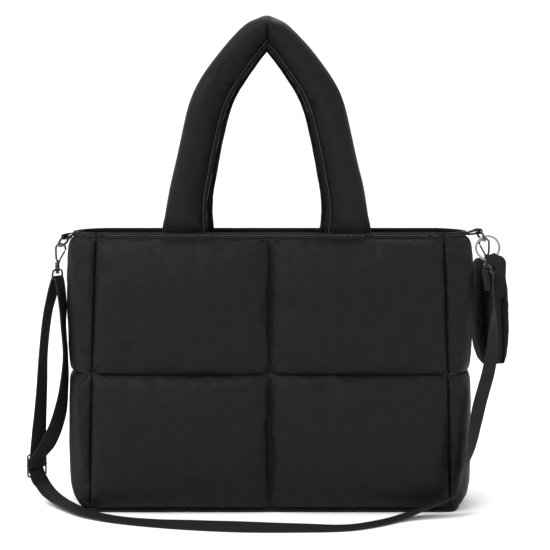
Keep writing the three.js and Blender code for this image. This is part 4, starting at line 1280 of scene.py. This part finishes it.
RISING_RUN = (
    (1.031, -1.393, 0.0739, (0, 0.97, -0.2)),
    (1.059, -1.357, 0.101, (0.2, 0.96, -0.2)),
    (1.076, -1.304, 0.1394, (0.3, 0.95, -0.1)),
    (1.1, -1.214, 0.1742, (0.4, 0.92, 0)),
    (1.139, -1.107, 0.2369, (0.55, 0.84, 0)),
    (1.166, -0.964, 0.3066, (0.7, 0.71, 0)),
    (1.2, -0.786, 0.3833, (0.8, 0.6, 0)),
    (1.265, -0.589, 0.5157, (0.8, 0.6, 0)),
    (1.291, -0.446, 0.6411, (0.6, 0.8, 0)),
    (1.3, -0.286, 0.7456, (0.1, 0.99, 0)),
)
SLIDER_PLACE = (-1.375, -0.143, 0.1359, (0.77, 0.64, 0))
UP = Vector((0, 0, 1))


def on_run(row):
    out, deep, up, face = row
    return Vector((out * panel_width / 2, deep * base_depth / 2, up * rim_height)), Vector(face)


def round_bar(centre, axis, radius, first, last, steps):
    ahead = axis.cross(UP).normalized()
    stops = []
    for k in range(steps + 1):
        turn = radians(first + (last - first) * k / steps)
        stops.append((centre + ahead * radius * cos(turn) + UP * radius * sin(turn), axis))
    return stops


slider_at, slider_face = on_run(SLIDER_PLACE)
slider_axis = slider_face.normalized()
slider_ahead = slider_axis.cross(UP).normalized()
bend = slider_wire / 2 + touch + strap_thickness / 2
ring_bend = hook_wire / 2 + touch + strap_thickness / 2
behind = -(bend + strap_thickness + touch + 0.5 * MM)


def on_slider(forward, height):
    return slider_at + slider_ahead * forward + UP * height, slider_axis


WOVEN = (
    (bend + 0.1 * MM, slider_spacing + 3 * MM),
    (bend, slider_spacing),
    (bend * 0.75, slider_spacing - bend * 0.75),
    (-bend * 0.6, slider_spacing * 0.5),
    (behind, slider_spacing * 0.16),
    (behind, -slider_spacing * 0.16),
    (-bend * 0.6, -slider_spacing * 0.5),
    (bend * 0.75, -slider_spacing + bend * 0.75),
    (bend, -slider_spacing),
)
sewn_loop = [on_slider(0.3 * MM, bend * 3), on_slider(-bend * 0.86, bend * 1.1)]
sewn_loop += round_bar(slider_at, slider_axis, bend, 180, 360, 8) + [on_slider(bend + 1.1 * MM, bend * 3)]
folded = [
    (right.ring_bar - UP * drop * strap_width + Vector((out * strap_width, 0, 0)), right.axis)
    for drop, out in ((0.444, -0.033), (0.778, 0.022), (1.111, 0.044))
]
strap_points, strap_faces = points_and_faces([
    *sewn_loop,
    *map(on_run, INNER_RUN),
    *round_bar(left.ring_bar, left.axis, ring_bend, 0, 180, 6),
    *map(on_run, OUTER_RUN),
    *(on_slider(*row) for row in WOVEN),
    *map(on_run, FLOOR_RUN),
    *map(on_run, RISING_RUN),
    *round_bar(right.ring_bar, right.axis, ring_bend, 0, 180, 6),
    *folded,
])
bm = band_mesh(strap_points, strap_faces, strap_width, 10)
strap = band_piece("shoulder_strap_webbing", bm, strap_thickness, webbing, "bag")
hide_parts("shoulder_strap")
print("strap length", round(walked(strap_points)[-1], 3), "m")

# %% Bend the slider
half, tall, corner = slider_width / 2, slider_spacing, slider_wire
stops = []
for a, h, first in ((1, 1, 0), (-1, 1, 90), (-1, -1, 180), (1, -1, 270)):
    for k in range(7):
        turn = radians(first + 15 * k)
        along, height = a * (half - corner) + corner * cos(turn), h * (tall - corner) + corner * sin(turn)
        stops.append(slider_at + slider_axis * along + UP * height)
slider_frame = wire_mesh(stops, slider_wire, True)
reach = half + 1.4 * MM
bar_points = [slider_at + slider_axis * reach * (k / 6 - 1) for k in range(13)]
slider_bar = wire_mesh(bar_points, slider_wire, ends=0.75)
joined_piece("strap_slider_wire", [slider_frame, slider_bar], silver, "bag", "strap_slider")
print("slider at", tuple(round(c, 4) for c in slider_at))

# %% [markdown]
# ## Key ring and pouch
#
# The small pouch hangs from a split ring by a folded tab and shows the camera only its edge: two puffed
# faces with a zip strip between them. Its faces are blown up like the panels. The split ring is a flat
# wire wound twice, so a band along a short spiral makes it.

# %% Wind the key ring
key_radius, key_wire, key_along, key_lean = 12.5 * MM, 2.4 * MM, -6.3 * MM, radians(14)
key_seat = right.bar + right.axis * key_along + right.down * d_ring_drop(key_along)
key_seat.z += ring_wire / 2 + touch * 2.6 + key_wire / 2
key_centre = key_seat + Vector((sin(key_lean), 0, -cos(key_lean))) * key_radius
key_turns, key_start, key_steps, coil_pitch = 1.94, 0.8, 150, key_wire * 0.52
key_points, key_faces = [], []
for k in range(key_steps + 1):
    turn = 2 * pi * key_turns * k / key_steps + key_start
    out = Vector((cos(turn), 0, sin(turn)))
    sideways = (k / key_steps - 0.5) * coil_pitch
    key_points.append(key_centre + out * key_radius + Vector((0, sideways, 0)))
    key_faces.append(out)
key_mesh = band_mesh(key_points, key_faces, key_wire * 0.92, 2)
key_piece = band_piece("key_ring_coil", key_mesh, key_wire * 0.46, bright_silver, "bag", 0.25 * MM)
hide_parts("key_ring")
print("key ring centre", tuple(round(c, 4) for c in key_centre))

# %% Fold the pouch's tab over the ring
pouch_height, pouch_depth, pouch_puff, pouch_cornering = 119 * MM, 84 * MM, 11 * MM, 0.16
pouch_out, pouch_back, pouch_drop = 36 * MM, 56 * MM, 90 * MM
zip_width, zip_thickness = 13 * MM, 2 * MM
pouch_tab_width, pouch_tab_length, tab_turn = 12 * MM, 44 * MM, radians(-72)
pouch_x, pouch_tilt = panel_width / 2 + gusset_flare + pouch_out, radians(-2.5)
pouch_at = Matrix.Translation((pouch_x, pouch_back, rim_height - pouch_drop))
pouch_at = pouch_at @ Matrix.Rotation(pouch_tilt, 4, "Y")
out = Vector((cos(tab_turn), 0, sin(tab_turn)))
fold, tab_along = key_centre + out * key_radius, Vector((-out.z, 0, out.x))
tab_bend, tab_spread = key_wire / 2 + touch * 1.6 + tab_thickness / 2, tab_thickness / 2 + touch / 2
pouch_near = pouch_back - pouch_depth / 2 + touch * 2
TAB_ROWS = (
    # right, back and down as shares, spread, face
    (0.267, 0, 0.02, tab_bend, tab_along),
    (0.75, 0, 0.07, tab_bend * 0.7, Vector((1, 0, 0.15))),
    (0.833, 0.05, 0.22, tab_spread, Vector((1, 0, 0.15))),
    (0.875, 0.45, 0.62, tab_spread, Vector((1, 0, 0))),
    (0.833, 1, 1, tab_spread, Vector((1, 0, 0))),
)
tab_reach = pouch_near - tab_spread - tab_thickness / 2 - touch - fold.y


def tab_side(sign):
    stops = []
    for share, back_share, down, spread, face in TAB_ROWS:
        y = back_share * tab_reach + sign * spread
        stops.append((fold + Vector((share * pouch_tab_width, y, -down * pouch_tab_length)), face))
    return stops


sagitta = key_radius - sqrt(key_radius**2 - (pouch_tab_width / 2) ** 2)
over = []
for angle in (-150, -120, -90, -60, -30):
    turn = radians(angle)
    beyond = out * (tab_bend + sagitta + touch) * sin(turn)
    over.append((fold + beyond + Vector((0, tab_bend * cos(turn), 0)), tab_along))
tab_points, tab_faces = points_and_faces([*reversed(tab_side(-1)), *over, *tab_side(1)])
bm = band_mesh(tab_points, tab_faces, pouch_tab_width, 8)
pouch_tab = band_piece("pouch_tab_band", bm, tab_thickness, webbing, "bag")
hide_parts("pouch_tab")
print("pouch tab length", round(walked(tab_points)[-1], 3), "m")

# %% Blow up the pouch's faces
pouch_lining_start = zip_width / 2 + touch
pouch_columns, pouch_rows = 46, 64
POUCH_CROWN, POUCH_FULLNESS, POUCH_WAVE, POUCH_SINK = 2.6, 0.62, 0.8 * MM, 0.6 * MM
POUCH_PRESSURE, POUCH_GROWTH, POUCH_FRAMES, POUCH_MOST = 1.5, 0.005, 12, 3 * MM


def pouch_spot(s, t, x, shrink=0.0):
    y = (pouch_depth / 2 - shrink) * s * sqrt(1 - pouch_cornering * t * t)
    z = (pouch_height / 2 - shrink) * t * sqrt(1 - pouch_cornering * s * s)
    return pouch_at @ Vector((x, y, z))


def pouch_grid(side, lifted):
    """A face of the pouch, either its domed cover or its flat lining, with its edge pinned."""
    bm, uv, cells = laid_grid(pouch_columns, pouch_rows)
    pinned = set()
    for v, i, j in cells:
        s, t = -cos(pi * i / pouch_columns), -cos(pi * j / pouch_rows)
        rise = max(0.0, (1 - abs(s) ** POUCH_CROWN) * (1 - abs(t) ** POUCH_CROWN)) ** POUCH_FULLNESS
        edge = i in (0, pouch_columns) or j in (0, pouch_rows)
        x = pouch_lining_start
        if lifted:
            wave = POUCH_WAVE * noise.noise(Vector((s * 7, t * 9, side * 3.3)))
            x += seam_thickness - POUCH_SINK + ((pouch_puff - 1.5 * MM) * rise + wave) * (0 if edge else 1)
        if edge:
            pinned.add(v.index)
        v.co = pouch_spot(s, t, side * x)
    stretch_map(bm, uv, pouch_depth, pouch_height)
    bm.normal_update()
    bm.faces.ensure_lookup_table()
    outward = pouch_at.to_3x3() @ Vector((side if lifted else -side, 0, 0))
    if sum(f.normal.dot(outward) for f in bm.faces) < 0:
        bmesh.ops.reverse_faces(bm, faces=bm.faces[:])
    return bm, pinned


for node, side in (("pouch_inner_face", -1), ("pouch_outer_face", 1)):
    cover_grid, pinned = pouch_grid(side, True)
    cover = blow_up(cover_grid, pinned, POUCH_PRESSURE, POUCH_GROWTH, POUCH_FRAMES, POUCH_MOST)
    inside_grid, _ = pouch_grid(side, False)
    face = closed_wall(node + "_cloth", cover, mesh_from(inside_grid, "pouch_lining"), pouch_nylon)
    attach(face, "bag")
    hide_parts(node)
print("pouch faces made")

# %% Close the pouch with its zip strip
def strip_path(shrink, steps=26):
    """The closed path round the pouch's edge, from its lower near corner."""
    corners = ((-1, -1, 1, 0), (1, -1, 0, 1), (1, 1, -1, 0), (-1, 1, 0, -1))
    path = []
    for s, t, ds, dt in corners:
        path += [pouch_spot(s + ds * 2 * k / steps, t + dt * 2 * k / steps, 0, shrink) for k in range(steps)]
    for _ in range(4):
        path = [(path[k - 1] + path[k] * 2 + path[(k + 1) % len(path)]) / 4 for k in range(len(path))]
    return path


strip_middle = strip_path(zip_thickness / 2)
pouch_across = (pouch_at.to_3x3() @ Vector((1, 0, 0))).normalized()
loop_points = strip_middle + strip_middle[:1]
bm = band_mesh(loop_points, [pouch_across] * len(loop_points), zip_width, 6)
bmesh.ops.remove_doubles(bm, verts=bm.verts, dist=0.05 * MM)
zip_strip = band_piece("pouch_zip_strip_cloth", bm, zip_thickness, webbing, "bag", 0.4 * MM)
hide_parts("pouch_zip_strip")

# The zip's teeth run down the near edge from its end patch, and on under the pouch.
teeth_line = strip_path(-0.4 * MM)
side_count = len(teeth_line) // 4
near_edge = teeth_line[3 * side_count :] + teeth_line[: side_count + 1]
patch_at, tooth_pitch, tooth_shift = 0.22, 1.15 * MM, 0.5 * MM
tooth_size = (2.6 * MM, 0.75 * MM, 0.9 * MM)
teeth_run = near_edge[int(side_count * patch_at) + 1 :]
bm = bmesh.new()
far, k, at, teeth = walked(teeth_run), 0, 0.0, 0
while at < far[-1] - 1 * MM:
    while far[k + 1] < at:
        k += 1
    ahead = (teeth_run[k + 1] - teeth_run[k]).normalized()
    middle = teeth_run[k].lerp(teeth_run[k + 1], (at - far[k]) / (far[k + 1] - far[k]))
    turn = Matrix((pouch_across, ahead, pouch_across.cross(ahead))).transposed().to_4x4()
    shift = pouch_across * (tooth_shift if teeth % 2 else -tooth_shift)
    there = Matrix.Translation(middle + shift) @ turn @ Matrix.Diagonal((*tooth_size, 1))
    bmesh.ops.create_cube(bm, size=1, matrix=there)
    at, teeth = at + tooth_pitch, teeth + 1
zip_teeth = finish_mesh(bm, "pouch_zip_teeth", gunmetal, False)
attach(zip_teeth, "bag")
print("zip teeth", teeth)

# %% Sew the patch over the zip's end
patch_run = strip_path(-1.1 * MM)[3 * side_count :]
patch_points = [p.copy() for p in patch_run[2 : int(side_count * patch_at) + 3]]
patch_widths = [0.72 + 0.28 * k / (len(patch_points) - 1) for k in range(len(patch_points))]
patch_faces = [pouch_across] * len(patch_points)
patch_mesh = band_mesh(patch_points, patch_faces, zip_width * 0.95, 4, 0.5 * MM, 1.0, patch_widths)
patch = band_piece("pouch_zip_patch", patch_mesh, 0.9 * MM, patch_tape, "bag", 0.3 * MM)
outward = (pouch_at.to_3x3() @ Vector((0, -1, 0))).normalized()
foot = patch_points[-2] + outward * 0.7 * MM
patch_row = [foot + pouch_across * (k / 4 - 1) * zip_width * 0.42 for k in range(9)]
bm = bmesh.new()
patch_stitches = sew(bm, patch_row, 1.6 * MM, 2.2 * MM)
patch_seam = finish_mesh(bm, "pouch_patch_stitches", thread)
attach(patch_seam, "bag")
print("patch stitches", patch_stitches)
